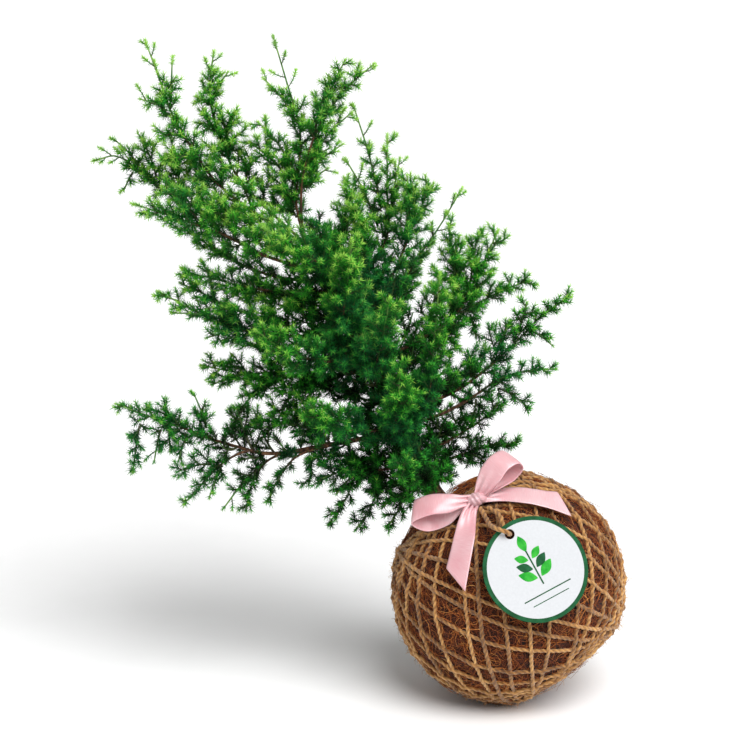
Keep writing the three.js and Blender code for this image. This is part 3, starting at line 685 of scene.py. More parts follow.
# %% Set hairs on the twine
HAIRS = 3200
HAIR_STEPS = 2
HAIR_RADIUS = 0.075
HAIR_SAG = 0.35
turn_of = draw.integers(0, TURNS, HAIRS)
step_of = draw.integers(0, TWINE_STEPS, HAIRS)
foot = turn_lines[turn_of, step_of]
up = unit(foot - BALL_CENTRE)
along = unit(turn_lines[turn_of, step_of + 1] - foot)
lean = unit(along * draw.choice([-1, 1], (HAIRS, 1)) * draw.uniform(0.3, 1.2, (HAIRS, 1))
            + up * draw.uniform(0.25, 1.0, (HAIRS, 1)) + draw.normal(0, 0.45, (HAIRS, 3)))
lean = unit(lean + up * 0.1)
hair_length = draw.uniform(1.6, 4.2, (HAIRS, 1))
hair_lines = np.stack([foot + up * 0.3 + lean * hair_length * s - up * HAIR_SAG * s ** 2
                       + draw.normal(0, 0.08, (HAIRS, 3))
                       for s in np.linspace(0, 1, HAIR_STEPS + 1)], axis=1)
hair_rod = rolled_rod(3, HAIR_STEPS)
hairs = Heap()
spots = above_table(held_down(bent(hair_rod, hair_lines, HAIR_RADIUS)), 0)
hairs.add(hair_rod, spots, draw.uniform(0.5, 0.8, (HAIRS, 1)))
finished("twine_hairs", hairs.mesh("twine_hairs"), [jute])
print("hairs on the twine:", HAIRS)

# %% [markdown]
# ## Wood
# The trunk is 9 mm thick at the collar and thins to a twig. Its bark is thin, fibrous and reddish
# brown, flaking in long strips; the youngest wood is smoother and greener. Rods with many sides,
# pushed in and out by noise that is stretched along the stem, give the strips.

# %% Make the bark
bark, tree, shader = new_material("fibrous_cypress_bark", Roughness=0.86)
# Bark strips are about 1 mm wide and six times as long: the pattern is stretched along Z.
flakes = noise_on(tree, stretched(tree, object_spot(tree), Scale=(900, 900, 160)), 1, 5, 0.65)
colour = ramp(tree, flakes, (0.30, "#1c110a"), (0.48, "#452c1a"), (0.62, "#775235"), (0.78, "#99744f"))
surface(tree, shader, colour, flakes, 0.8, 0.0006)
print("material", bark.name)

# %% [markdown]
# ## The limbs
# The first tables are the solid model's own: each limb leaves the trunk at its fork (a share of the
# trunk), is bare wood to its leaf point and green to its tip. The courses that show in the picture
# were then picked on it, so these limbs, and the low branch's end, run about a centimetre
# beside their solids. The camera's place turns such a pick into a place on the plant.

# %% The trunk and limb lines
COLLAR = BALL_CENTRE + GROWTH_AXIS * 61.4
ROOT_END = BALL_CENTRE + GROWTH_AXIS * 23.4
LIMB_SAG = 0.055           # of its length, how far a limb bows down between its points
TRUNK = [COLLAR, (-54, 10, 137), (-71, 12, 174), (-89, 16, 207), (-103, 18, 233)]
LIMBS = [
    ("crest_centre", 1.00, (-104, 23, 242), (-116, 28, 329)),
    ("crest_right", 0.98, (-92, 12, 262), (-68, 13, 319)),
    ("crest_mid_left", 0.92, (-128, 32, 248), (-144, 39, 320)),
    ("crest_left", 0.92, (-144, 13, 259), (-177, 21, 327)),
    ("crest_back", 0.95, (-106, 44, 243), (-90, 65, 294)),
    ("far_left_high", 0.86, (-155, 36, 246), (-206, 37, 265)),
    ("far_left_low", 0.80, (-145, 2, 232), (-191, 2, 252)),
    ("left_back", 0.76, (-137, 50, 211), (-170, 64, 233)),
    ("left_upper", 0.72, (-123, 10, 204), (-165, 13, 224)),
    ("left_middle", 0.58, (-123, 15, 183), (-174, 15, 204)),
    ("left_lower", 0.44, (-108, 23, 161), (-154, 27, 163)),
    ("low_left_a", 0.12, (-74, 0, 116), (-90, -4, 90)),
    ("low_left_b", 0.08, (-63, 13, 105), (-77, 13, 81)),
    ("low_left_c", 0.05, (-51, -6, 107), (-61, -14, 91)),
    ("right_crest_left", 0.66, (-61, 32, 228), (-61, 37, 278)),
    ("right_crest", 0.60, (-51, 13, 218), (-39, 13, 256)),
    ("right_high", 0.54, (-37, 23, 206), (-24, 28, 256)),
    ("right_upper", 0.46, (-26, 7, 196), (-7, 9, 236)),
    ("right_shoulder", 0.38, (-20, 27, 177), (10, 31, 206)),
    ("right_far", 0.30, (-7, 10, 163), (29, 11, 201)),
    ("right_middle", 0.24, (-13, -9, 152), (20, -13, 178)),
    ("right_lower", 0.14, (-18, 10, 135), (9, 10, 147)),
    ("right_foot", 0.08, (-24, 24, 123), (4, 27, 127)),
    ("front_high", 0.80, (-94, -18, 226), (-120, -38, 248)),
    ("front_crown", 0.62, (-82, -23, 203), (-78, -43, 243)),
    ("front_left", 0.50, (-97, -23, 179), (-124, -47, 200)),
    ("front_middle", 0.46, (-66, -27, 180), (-60, -49, 216)),
    ("front_right", 0.26, (-41, -21, 162), (-36, -31, 224)),
    ("front_low", 0.26, (-80, -26, 145), (-97, -54, 162)),
    ("front_centre", 0.20, (-57, -26, 148), (-55, -56, 182)),
    ("front_foot", 0.06, (-45, -23, 124), (-55, -47, 132)),
    ("back_high", 0.80, (-87, 51, 217), (-77, 72, 249)),
    ("back_middle", 0.60, (-69, 49, 182), (-44, 75, 205)),
    ("back_right", 0.26, (-35, 41, 147), (-9, 69, 160)),
    ("back_left", 0.46, (-79, 50, 158), (-99, 77, 168)),
]
LOW_FORK = 0.16
LOW_BRANCH = [(-58, 8, 132), (-84, 2, 130), (-120, -3, 126), (-137, -3, 130)]
LOW_LIMBS = [
    ("low_branch_tip", 1.00, (-148, -2, 131), (-194, -2, 151)),
    ("low_branch_a", 0.84, (-140, -7, 121), (-161, -13, 103)),
    ("low_branch_b", 0.66, (-126, 2, 117), (-142, 6, 93)),
    ("low_branch_c", 0.46, (-110, -5, 117), (-122, -11, 96)),
]
# Limbs whose course shows in the picture: the points after the fork, each as mm right of and above
# the picture's middle and its y, which is a guess because the picture doesn't show depth.
LIMB_BENDS = {
    "crest_centre": [(-39.5, 86, 20), (-38.5, 99.5, 21), (-37.5, 122.5, 22), (-44.5, 147.5, 27),
        (-51, 169.5, 28)],
    "crest_right": [(-37, 86, 14), (-35.5, 101.5, 14), (-28.5, 123.5, 13), (-14, 143.5, 13),
        (-0.5, 155.5, 12)],
    "crest_mid_left": [(-67.5, 97.5, 33), (-76.5, 116.5, 35), (-82, 135, 37), (-82.5, 148.5, 38),
        (-80.5, 162, 39)],
    "crest_left": [(-77, 94, 13), (-91.5, 113.5, 16), (-102, 131.5, 18), (-108, 148.5, 20),
        (-115, 167.5, 21)],
    "far_left_high": [(-83.5, 80.5, 30), (-107.5, 93.5, 36), (-119.5, 103.5, 37), (-129.5, 109.5, 37),
        (-139.5, 107.5, 37)],
    "far_left_low": [(-54.5, 59.5, 8), (-76.5, 70.5, 4), (-93.5, 76.5, 2), (-106.5, 81, 2),
        (-119, 85, 2)],
    "left_upper": [(-37.5, 41.5, 14), (-55.5, 42.5, 10), (-70.5, 45.5, 11), (-83.5, 49, 12),
        (-95.5, 50.5, 13)],
    "right_high": [(9.5, 27.5, 14), (13.5, 42.5, 18), (21.5, 58.5, 22), (33, 75.5, 26),
        (43.5, 93.5, 28)],
    "right_shoulder": [(32.5, 18.5, 16), (44.5, 31.5, 26), (55.5, 38, 28), (66.5, 43.5, 30),
        (77, 47, 31)],
    "right_lower": [(35.5, -33.5, 4), (45.5, -27.5, 8), (52.5, -23, 10), (58, -18.5, 11),
        (62, -13.5, 11)],
    "right_foot": [(34.5, -43, 16), (44, -39.5, 22), (53.5, -36.5, 25), (62, -35, 27),
        (70.5, -34.5, 27)],
    "right_middle": [(35.5, -18.5, -2), (49.5, -10.5, -6), (62.5, -2, -10), (76, 2, -12),
        (90.5, 3, -13)],
    "right_far": [(37.5, -9.5, 10), (57.5, 4.5, 12), (72.5, 18.5, 12), (85.5, 31.5, 12), (98, 39, 11)],
    "low_branch_b": [(-45.5, -39, 2), (-54.5, -43.5, 4), (-60, -51.5, 5), (-63, -60, 6),
        (-64.5, -68, 6)],
    "low_branch_c": [(-31.5, -37.5, -3), (-39.5, -41, -6), (-45.5, -47.5, -8), (-50, -55, -9),
        (-53.5, -62.5, -10)],
    "right_crest": [(1.5, 37.5, 8), (10.5, 53.5, 10), (17.5, 70.5, 11), (22.5, 83, 12),
        (28.5, 94.5, 13)],
    "low_branch_tip": [(-78.5, -33, -3), (-87.5, -29.5, -3), (-99, -25.5, -3), (-113.5, -20.5, -2),
        (-129.5, -14.5, -2)],
    "low_branch_a": [(-61.5, -37.5, -4), (-70.5, -40.5, -6), (-79, -46.5, -9), (-87.5, -55.5, -11),
        (-95.5, -64.5, -13)],
}
low_branch = np.vstack([smooth_line(TRUNK, LOW_FORK), LOW_BRANCH])


def seen_at(right, up, back):
    """The place at y = back that the camera sees so far right of and above the picture's middle."""
    eye = np.array(aim - CAMERA_DISTANCE * ahead_of_camera)
    seen = np.array(aim + Vector((right, 0, 0)) + up * up_of_camera)
    return eye + (seen - eye) * (back - eye[1]) / (seen[1] - eye[1])


def limb_points(parent, fork, leaf, tip):
    """The five points of a limb that bows down a little before its leaf point and again after."""
    start, leaf, tip = smooth_line(parent, fork)[0], np.array(leaf, float), np.array(tip, float)
    outward = start + 0.55 * (leaf - start) - [0, 0, LIMB_SAG * np.linalg.norm(leaf - start)]
    rising = (leaf + tip) / 2 - [0, 0, LIMB_SAG * np.linalg.norm(tip - leaf)]
    return np.array([start, outward, leaf, rising, tip])


limbs = []
for parent, table in ((TRUNK, LIMBS), (low_branch, LOW_LIMBS)):
    for name, fork, leaf, tip in table:
        points = limb_points(parent, fork, leaf, tip)
        if name in LIMB_BENDS:
            points = np.array([points[0], *(seen_at(*bend) for bend in LIMB_BENDS[name])])
        limbs.append((name, fork if table is LIMBS else LOW_FORK, points))
print("limbs:", len(limbs))

# %% Bend the wood
ROOT_RADIUS = 4.5
TRUNK_RADIUS = 4.4         # of the wood in the solid model, at the collar and at the tip
TRUNK_TIP_RADIUS = 1.3
LOW_BRANCH_RADII = (1.6, 0.75)
LIMB_RADIUS = 1.0          # at most: a limb is never thicker than half of the trunk at its fork
LOW_LIMB_RADIUS = 0.85
LIMB_TIP_RADIUS = 0.5
LIMB_WOOD_END = 0.56       # the share of a limb that is wood
wood = Heap()


def add_wood(points, sides, steps, radius_from, radius_to, end=1.0):
    """A stem with knobs and strips of bark along a curve, up to a share of it."""
    line = smooth_line(points, np.linspace(0, end, steps + 1))
    rod = rolled_rod(sides, steps)
    spots = bent(rod, line[None], np.linspace(radius_from, radius_to, steps + 1))
    middle = line[np.rint(rod.spots[:, 2] * steps).astype(int)]
    push = np.array([0.13 * lumps(p * [1, 1, 0.25], 1.3) + 0.10 * lumps(p, 6) for p in spots[0]])
    wood.add(rod, middle + (spots - middle) * (1 + push)[None, :, None], 0.5)


add_wood([ROOT_END, COLLAR - 0.1 * GROWTH_AXIS], 20, 18, ROOT_RADIUS, ROOT_RADIUS)
add_wood(TRUNK, 20, 110, ROOT_RADIUS, TRUNK_TIP_RADIUS)
add_wood(low_branch, 10, 60, *LOW_BRANCH_RADII)
for name, fork, points in limbs:
    trunk_there = TRUNK_RADIUS + (TRUNK_TIP_RADIUS - TRUNK_RADIUS) * fork
    on_low_branch = name.startswith("low_branch")
    thick = LOW_LIMB_RADIUS if on_low_branch else min(LIMB_RADIUS, trunk_there * 0.5)
    add_wood(points, 7, 16, thick, LIMB_TIP_RADIUS, LIMB_WOOD_END)
finished("bark_stems", wood.mesh("bark_stems"), [bark], ["woody_stems"])
print("wood:", pieces_made[-1])

# %% [markdown]
# ## Needles
# Young cypress foliage is soft: flat needles 3 to 5 mm long and half a millimetre wide stand all
# round thin green stems and lean forward. They are deep green inside the plant, bright green on
# the outside and yellow-green at the growing tips. A needle has a paler line down its middle. The
# tint that the mesh carries gives the age, and painted shade: darker low on the plant and in its
# middle. Noise gives patches.

# %% Make the needle and green stem materials
needle_skin, tree, shader = new_material("young_cypress_needle", Roughness=0.55,
                                         Specular_IOR_Level=0.12)
spot = object_spot(tree)
age_and_shade = reckoned(tree, "MULTIPLY_ADD", noise_on(tree, spot, 70, 2), 0.35, mesh_tint(tree))
# The ramp runs from near black, which takes the painted shade low on the plant and in its middle,
# through old deep green to young yellow-green tips.
green = ramp(tree, age_and_shade, (0.08, "#010803"), (0.34, "#06320a"), (0.60, "#19771b"), (0.82, "#49b02d"),
             (1.0, "#a6dc5a"))
# Whole sprays are a little bluer than others: these patches are 50 mm wide.
bluer = mapped(tree, noise_on(tree, spot, 20, 1), 0.50, 0.68, 0.0, 0.4)
green = mixed_colour(tree, bluer, green, paint("#1a7344"))
# Narrow bands, three to the width of the UV map, are a little paler.
across = add_node(tree, "ShaderNodeSeparateXYZ", {"Vector": woven_uv(tree)}).outputs["X"]
waves = reckoned(tree, "COSINE", reckoned(tree, "MULTIPLY", across, 2 * math.pi * 3))
vein = mapped(tree, waves, 0.6, 1.0, 0.0, 0.06)
surface(tree, shader, mixed_colour(tree, vein, green, paint("#6cc04e")), vein, 0.4, 0.0001)

stem_skin, tree, shader = new_material("green_cypress_twig", Roughness=0.6)
grain = noise_on(tree, object_spot(tree), 500, 3)
colour = ramp(tree, reckoned(tree, "MULTIPLY_ADD", grain, 0.4, mesh_tint(tree)),
              (0.25, "#2e2011"), (0.5, "#36401a"), (0.75, "#3a6a26"), (1.0, "#86ad4c"))
surface(tree, shader, colour, grain, 0.3, 0.0002)
print("materials", needle_skin.name, stem_skin.name)

# %% [markdown]
# ## One needle
# A juvenile cypress leaf is awl shaped: broad where it clasps the stem, then drawn to a point. A
# three-sided cone with a closed foot is that shape. It is copied about a quarter of a million times,
# so it has only four faces. Each copy is flattened, and its own length and lean are drawn.

# %% Shape the needle
bm = bmesh.new()
bm.loops.layers.uv.new("weave")
bmesh.ops.create_cone(bm, cap_ends=True, cap_tris=False, segments=3, radius1=1, radius2=0, depth=1,
                      matrix=Matrix.Translation((0, 0, 0.5)), calc_uvs=True)
bmesh.ops.remove_doubles(bm, verts=bm.verts, dist=1e-4)
bmesh.ops.recalc_face_normals(bm, faces=bm.faces)
needle = read_shape(bm)
print("needle:", len(needle.spots), "corners,", len(needle.sizes), "faces")

# %% [markdown]
# ## The green sprays
# A spray is a shoot with side shoots, and twigs on those, each one shorter toward its parent's tip.
# The golden angle of 137.5 degrees sets one after the other round the stem, as plants do, so the
# spray is full on all sides. The same seeded draw grows the same plant each run.
#
# Plumes are smaller shoots of the same make that branch off a limb, to tips picked on the picture.
# Eight limbs and the slimmest plumes end in a fresh leader: its side shoots are few, short and
# almost bare, with a tuft at the end.

# %% Set the rules of growth
GOLDEN_TURN = math.radians(137.5)
STEM_POINTS = 7
TWIG_STEPS = 3
MAIN_STEPS = 12
NEEDLE_HALF_WIDTH = 0.31
NEEDLE_HALF_THICKNESS = 0.19
NEEDLE_LEAN = 64           # degrees from the stem; in a tuft they lean TUFT_LEAN less
NEEDLE_LEAN_PLAY = 9
TUFT_LEAN = 34
LIT_HEIGHT = 222           # mm above the table, where the light changes no tint
LIGHT_GAIN = 0.0023        # of tint, to a mm above or below that
DARKEST, LIGHTEST = -0.26, 0.12
NEEDLE_SKIN, STEM_SKIN = 0, 1
# How needles stand on each kind of stem: mm of stem to one needle, the needle's length in mm, the
# share of the stem that is bare, and the share past which they close to a tuft.
ON_SIDE_SHOOT = dict(pitch=0.185, reach=4.0)
ON_TWIG = dict(pitch=0.175, reach=3.7, close=0.65)
ON_FRESH_ARM = dict(pitch=0.40, reach=2.6, bare=0.15, close=0.9)
ON_FRESH_TUFT = dict(pitch=0.12, reach=2.8, bare=0.60)
ON_LIMB = dict(pitch=0.22, reach=4.2, close=1)
ON_LIMB_TIP = dict(pitch=0.10, reach=2.9, bare=0.20, close=0.4)
SIDE_SHOOT_RADIUS = 0.52
FRESH_ARM_RADIUS = 0.34
TWIG_RADIUS = 0.42
TWIG_SPACING = 3.3         # mm of side shoot to one twig
SHOOT_SPACING = 3.2        # mm of limb to one side shoot
INNER_SPACING = 4.0        # the same, close to the trunk
TIP_LENGTH = 5.5           # of the side shoots at a limb's tip
INNER_TIP_LENGTH = 5
INNER_BREADTH = 13
SHOOT_POINTS = 40
stem_rod = rolled_rod(4, STEM_POINTS - 1)
twig_rod = rolled_rod(4, TWIG_STEPS)
main_rod = rolled_rod(5, MAIN_STEPS)


def side_shoots(parent, starts, lengths, first_roll, spread, curl, lift):
    """Shoots that leave one stem at the given shares, round and round, and turn back along it."""
    ahead, across, out = (x[0] for x in frames_along(parent[None]))
    place = starts * (len(parent) - 1)
    low = np.minimum(place.astype(int), len(parent) - 2)
    w = (place - low)[:, None]
    centre = parent[low] * (1 - w) + parent[low + 1] * w
    ahead, across, out = (unit(x[low] * (1 - w) + x[low + 1] * w) for x in (ahead, across, out))
    roll = (first_roll + GOLDEN_TURN * np.arange(len(starts)))[:, None]
    heading = unit(ahead + spread * (across * np.cos(roll) + out * np.sin(roll))
                   + draw.normal(0, 0.18, centre.shape))
    rise = draw.normal(lift, 0.3, (len(starts), 1)) * [[0, 0, 1]]
    turned = unit(heading * (1 - curl) + ahead * curl + rise)
    half = lengths[:, None] / 2 * (1 + 0.2 * heading[:, 2:])
    knee = (centre + heading * half)[:, None]
    end = knee + (turned * half)[:, None]
    s = np.linspace(0, 1, STEM_POINTS)[None, :, None]
    return (1 - s) ** 2 * centre[:, None] + 2 * s * (1 - s) * knee + s ** 2 * end


def add_stems(heap, rod, lines, radii, foot_tint, rise):
    """Green stems along lines, whose tint rises toward the tip, where they are younger."""
    heap.add(rod, bent(rod, lines, radii), foot_tint + rise * rod.spots[None, :, 2], STEM_SKIN)


def add_needles(heap, stems, foot_tint, tip_tint, pitch, reach, bare=0.04, close=0.7):
    """Needles all round each stem past its bare share; past the close share they close to a tuft."""
    lengths = line_length(stems)
    counts = np.maximum(3, (lengths * (1 - bare) / pitch)).astype(int)
    owner = np.repeat(np.arange(len(stems)), counts)
    rank = np.concatenate([np.arange(n) for n in counts])
    share = bare + (1 - bare) * ((rank + draw.random(len(rank))) / counts[owner]) ** 0.85
    share = np.minimum(share, 0.999)
    ahead, across, out = frames_along(stems)
    place = share * (stems.shape[1] - 1)
    low = np.minimum(place.astype(int), stems.shape[1] - 2)
    w = (place - low)[:, None]
    foot, ahead, across, out = (x[owner, low] * (1 - w) + x[owner, low + 1] * w
                                for x in (stems, ahead, across, out))
    roll = (GOLDEN_TURN * rank + draw.normal(0, 0.15, len(rank)))[:, None]
    side = across * np.cos(roll) + out * np.sin(roll)
    tip_near = np.clip((share - close) / max(1 - close, 0.01), 0, 1)
    lean = draw.normal(NEEDLE_LEAN, NEEDLE_LEAN_PLAY, len(rank)) - TUFT_LEAN * tip_near
    lean = np.radians(lean)[:, None]
    z = unit(ahead * np.cos(lean) + side * np.sin(lean))
    x = unit(np.cross(z, ahead))
    y = np.cross(z, x)
    size = (reach * draw.uniform(0.75, 1.15, len(rank)) * (1 - 0.25 * tip_near))[:, None, None]
    spots = needle.spots[None]
    placed = (foot[:, None] + x[:, None] * spots[..., :1] * NEEDLE_HALF_WIDTH
              + y[:, None] * spots[..., 1:2] * NEEDLE_HALF_THICKNESS
              + z[:, None] * spots[..., 2:] * size)
    foot_tint, tip_tint = (np.broadcast_to(x, len(stems))[owner] for x in (foot_tint, tip_tint))
    # Foliage low on the plant gets less light, so it is darker, but not at the low branch's end.
    light = np.clip(LIGHT_GAIN * (foot[:, 2] - LIT_HEIGHT), DARKEST, LIGHTEST)
    light = np.where(light < 0, light * np.interp(foot[:, 0], [-150, -90], [0.3, 1]), light)
    tint = foot_tint + (tip_tint - foot_tint) * share ** 1.5 + draw.normal(0, 0.06, len(rank)) + light
    heap.add(needle, placed, tint[:, None] + 0.12 * needle.spots[None, :, 2], NEEDLE_SKIN)


def grow(heap, shoot, number, spacing, longest, tip_length, young=0.3, age_and_shade=0.0, leader=1.0):
    """Fills a heap with a shoot's side shoots and their twigs, all set with needles.

    Past the leader share of the shoot every second side shoot is left out, and the others are short,
    almost bare arms that end in a plump tuft, as on a fresh leader.
    """
    full_length = line_length(shoot)
    count = max(3, int(full_length / spacing))
    starts = 0.04 + 0.94 * (np.arange(count) + draw.random(count) * 0.6) / count
    lengths = np.minimum(tip_length + 0.34 * full_length * (1 - starts),
                         longest * (1 + 0.8 * (1 - starts) ** 2))
    lengths = lengths * draw.uniform(0.7, 1.2, count) * np.minimum(1, 0.5 + 4 * starts)
    fresh = starts > leader
    arms = 4 + 7 * (1 - starts) / max(1 - leader, 0.01) * draw.uniform(0.5, 1.2, count)
    lengths = np.where(fresh, arms, lengths)
    keep = ~fresh | (np.arange(count) % 2 == 0)
    starts, lengths, fresh = starts[keep], lengths[keep], fresh[keep]
    first = side_shoots(shoot, starts, lengths, number, 1.35, 0.35, 0.2)
    radii = np.where(fresh, FRESH_ARM_RADIUS, SIDE_SHOOT_RADIUS)[:, None]
    add_stems(heap, stem_rod, first, radii * np.linspace(1, 0.6, STEM_POINTS), 0.3, 0.25)
    # Side shoots near the tip of the shoot are the youngest and lightest. In the plant's middle all
    # shoots are made darker: older foliage, and painted shade.
    youth = young * starts - age_and_shade
    leafy, arms = first[~fresh], first[fresh]
    add_needles(heap, leafy, youth[~fresh] - 0.05, 0.55 + youth[~fresh], **ON_SIDE_SHOOT)
    if len(arms):
        add_needles(heap, arms, 0.35, 0.60, **ON_FRESH_ARM)
        add_needles(heap, arms, 0.50, 0.85, **ON_FRESH_TUFT)
    second, shade = [], []
    for rank in np.flatnonzero(~fresh):
        n = max(1, int(lengths[rank] / TWIG_SPACING))
        at = 0.12 + 0.80 * (np.arange(n) + draw.random(n) * 0.5) / n
        small = (0.28 * lengths[rank] * (1 - at) + 3.2) * draw.uniform(0.75, 1.2, n)
        second.append(side_shoots(first[rank], at, small, rank, 1.3, 0.25, 0.12))
        shade.append(np.full(n, youth[rank]))
    second, shade = np.concatenate(second), np.concatenate(shade)
    add_stems(heap, twig_rod, second[:, ::2], TWIG_RADIUS * np.linspace(1, 0.5, TWIG_STEPS + 1),
              0.45, 0.2)
    add_needles(heap, second, 0.03 + shade, 0.62 + shade, **ON_TWIG)


def add_shoot(heap, line, number, breadth, leader):
    """One leafy shoot: its stem, its side shoots and the needles on the stem itself."""
    grow(heap, line, number, SHOOT_SPACING, breadth, TIP_LENGTH, leader=leader)
    stem_places = np.linspace(len(line) * 0.2, len(line) - 1, MAIN_STEPS + 1).astype(int)
    stem = line[stem_places][None]
    add_stems(heap, main_rod, stem, np.linspace(0.62, 0.38, MAIN_STEPS + 1), 0.2, 0.5)
    leafy = max(3, int(round(MAIN_STEPS * leader)) - 1)
    add_needles(heap, stem[:, :leafy], 0.0, 0.50, **ON_LIMB)
    add_needles(heap, stem[:, MAIN_STEPS - 1:], 0.50, 0.85, **ON_LIMB_TIP)


print("needles on a twig stand", ON_TWIG["pitch"], "mm apart")

# %% Grow the sprays
LEAFY_START = 0.12         # the share of a limb where its foliage starts, for most limbs
MOST_BREADTH = 12          # how far most limbs' side shoots reach, in mm
LEADER_BREADTH = 5         # a plume no broader than this is a leader from PLUME_LEADER on
PLUME_LEADER = 0.70
PLUME_ARCH = 0.08          # of a plume's length: how far its middle is above a straight line
# The share of the limb where its fresh leader starts; the other limbs are leafy to the tip.
LEADER_FROM = {
    "crest_left": 0.74, "crest_mid_left": 0.82, "crest_centre": 0.66, "crest_right": 0.82,
    "crest_back": 0.9, "far_left_high": 0.60, "right_high": 0.72, "far_left_low": 0.9,
}
# The limbs whose foliage starts at another share.
LEAFY_FROM = {
    "crest_right": 0.50, "crest_centre": 0.26, "crest_back": 0.5, "low_branch_a": 0.42,
    "low_branch_b": 0.34, "low_branch_c": 0.34, "right_middle": 0.3, "right_lower": 0.25,
}
# Plumes that branch off a limb: the share of the limb they leave it at, their tips, given in the
# same way as the limbs' bends, and their breadth.
PLUMES = {
    "crest_centre": [(0.4, (-58.5, 126.5, 20), 6), (0.62, (-56, 148.5, 26), 4),
        (0.3, (-62.5, 116.5, 24), 7), (0.2, (-52.5, 99.5, 26), 11), (0.1, (-55.5, 86.5, 26), 14),
        (0.06, (-46, 89, 22), 7), (0.14, (-47, 97.5, 16), 6), (0.42, (-22.5, 113.5, 24), 4)],
    "crest_right": [(0.6, (-15, 157.5, 16), 5.5), (0.54, (-22.5, 149, 15), 5.5),
        (0.42, (-11.5, 131.5, 14), 5), (0.34, (-16, 115.5, 14), 5), (0.26, (-23.5, 103.5, 16), 5)],
    "crest_left": [(0.58, (-117.5, 138, 12), 5), (0.46, (-108.5, 119.5, 12), 8),
        (0.6, (-101.5, 156.5, 20), 3.5), (0.34, (-104.5, 108.5, 8), 10), (0.2, (-76.5, 107.5, 8), 12),
        (0.12, (-68.5, 98.5, 4), 13)],
    "crest_mid_left": [(0.42, (-69.5, 130.5, 25), 5.5), (0.58, (-89.5, 139.5, 30), 4.5),
        (0.45, (-87.5, 126.5, 28), 8), (0.34, (-68.5, 120.5, 26), 8), (0.3, (-83.5, 114.5, 26), 11),
        (0.62, (-73.5, 151.5, 38), 3.5), (0.18, (-61.5, 110.5, 28), 12), (0.12, (-56.5, 99.5, 30), 13)],
    "far_left_high": [(0.52, (-130.5, 118, 36), 3.5), (0.4, (-116.5, 117.5, 25), 6),
        (0.3, (-100.5, 113.5, 14), 11), (0.6, (-125.5, 92.5, 34), 4), (0.24, (-87.5, 103.5, 16), 12),
        (0.16, (-77.5, 87.5, 8), 13)],
    "far_left_low": [(0.5, (-106.5, 94.5, 6), 8), (0.3, (-88.5, 89.5, 4), 11),
        (0.2, (-69.5, 84.5, 2), 13), (0.12, (-56.5, 79.5, 2), 14)],
    "left_upper": [(0.25, (-68.5, 37.5, 10), 10), (0.15, (-56.5, 34.5, 8), 10),
        (0.4, (-79.5, 42, 12), 5)],
    "left_middle": [(0.56, (-97.5, 46, 18), 8), (0.6, (-101.5, 31, 14), 4.5),
        (0.5, (-84.5, 18.5, 10), 8), (0.36, (-76.5, 34.5, 4), 8), (0.3, (-59.5, 31.5, -4), 10),
        (0.2, (-42.5, 37.5, -4), 10)],
    "left_lower": [(0.7, (-81.5, -5, 20), 7), (0.52, (-61.5, -10.5, 8), 9),
        (0.4, (-49.5, -24.5, 2), 10), (0.56, (-67.5, -17.5, 10), 7), (0.3, (-37.5, -14.5, -4), 10),
        (0.5, (-76.5, 20.5, 18), 7)],
    "low_branch_tip": [(0.84, (-121, -48.5, -4), 5.5), (0.7, (-110.5, -43.5, -6), 4.5),
        (0.3, (-90.5, -9.5, 2), 5), (0.56, (-112.5, -16.5, 4), 6), (0.04, (-68.5, -19, 6), 8),
        (0.66, (-102.5, -38.5, -4), 6), (0.5, (-98.5, -43.5, -6), 5)],
    "low_branch_a": [(0.55, (-99, -48.5, -8), 6), (0.5, (-83, -61.5, -10), 4.5)],
    "low_branch_c": [(0.05, (-61.5, -22.5, 0), 10), (0.1, (-43.5, -18.5, 6), 10),
        (0.2, (-32.5, -53.5, -2), 8)],
    "low_left_a": [(0.35, (-28.5, -52.5, -6), 10), (0.22, (-34.5, -41.5, -4), 9),
        (0.5, (-19.5, -59.5, -8), 8)],
    "low_left_b": [(0.3, (-14.5, -47.5, -12), 10), (0.5, (-1.5, -59.5, -4), 10)],
    "low_left_c": [(0.4, (4.5, -65.5, -8), 8)],
    "right_foot": [(0.4, (55.5, -43.5, 8), 7), (0.22, (37, -46.5, 2), 8)],
    "front_foot": [(0.3, (24.5, -57.5, -22), 9), (0.45, (14, -62.5, -30), 9),
        (0.22, (28.5, -51.5, -12), 9), (0.1, (34.5, -53, -20), 6)],
    "right_upper": [(0.45, (40.5, 67.5, 4), 8), (0.62, (51.5, 71.5, 9), 7), (0.5, (36.5, 75.5, 4), 6),
        (0.3, (33, 51.5, 8), 7)],
    "right_shoulder": [(0.2, (42.5, 14.5, 12), 10), (0.15, (36.5, 9.5, 8), 10),
        (0.44, (50.5, 18.5, 20), 7), (0.1, (38.5, 18.5, 14), 10)],
    "right_far": [(0.42, (66.5, 24.5, 6), 8), (0.58, (76, 36, 8), 6), (0.3, (47.5, 7.5, 8), 8),
        (0.66, (89, 14.5, 8), 5), (0.15, (40.5, 1.5, 6), 8)],
    "right_middle": [(0.3, (43.5, -16.5, 0), 9), (0.42, (49.5, -22.5, -4), 7),
        (0.52, (77, -16.5, -8), 5.5)],
    "right_crest": [(0.5, (18.5, 94.5, 10), 9), (0.62, (16, 99.5, 12), 7)],
    "right_crest_left": [(0.5, (-11, 135.5, 34), 4), (0.55, (12.5, 108.5, 34), 5),
        (0.45, (-15, 108.5, 30), 5), (0.3, (-15.5, 96.5, 26), 6), (0.24, (-9.5, 84.5, 12), 8)],
    "low_branch_b": [(0.35, (-76, -67, -4), 5)],
    "right_lower": [(0.2, (43.5, -19.5, 4), 8), (0.1, (36.5, -24.5, 2), 8)],
}
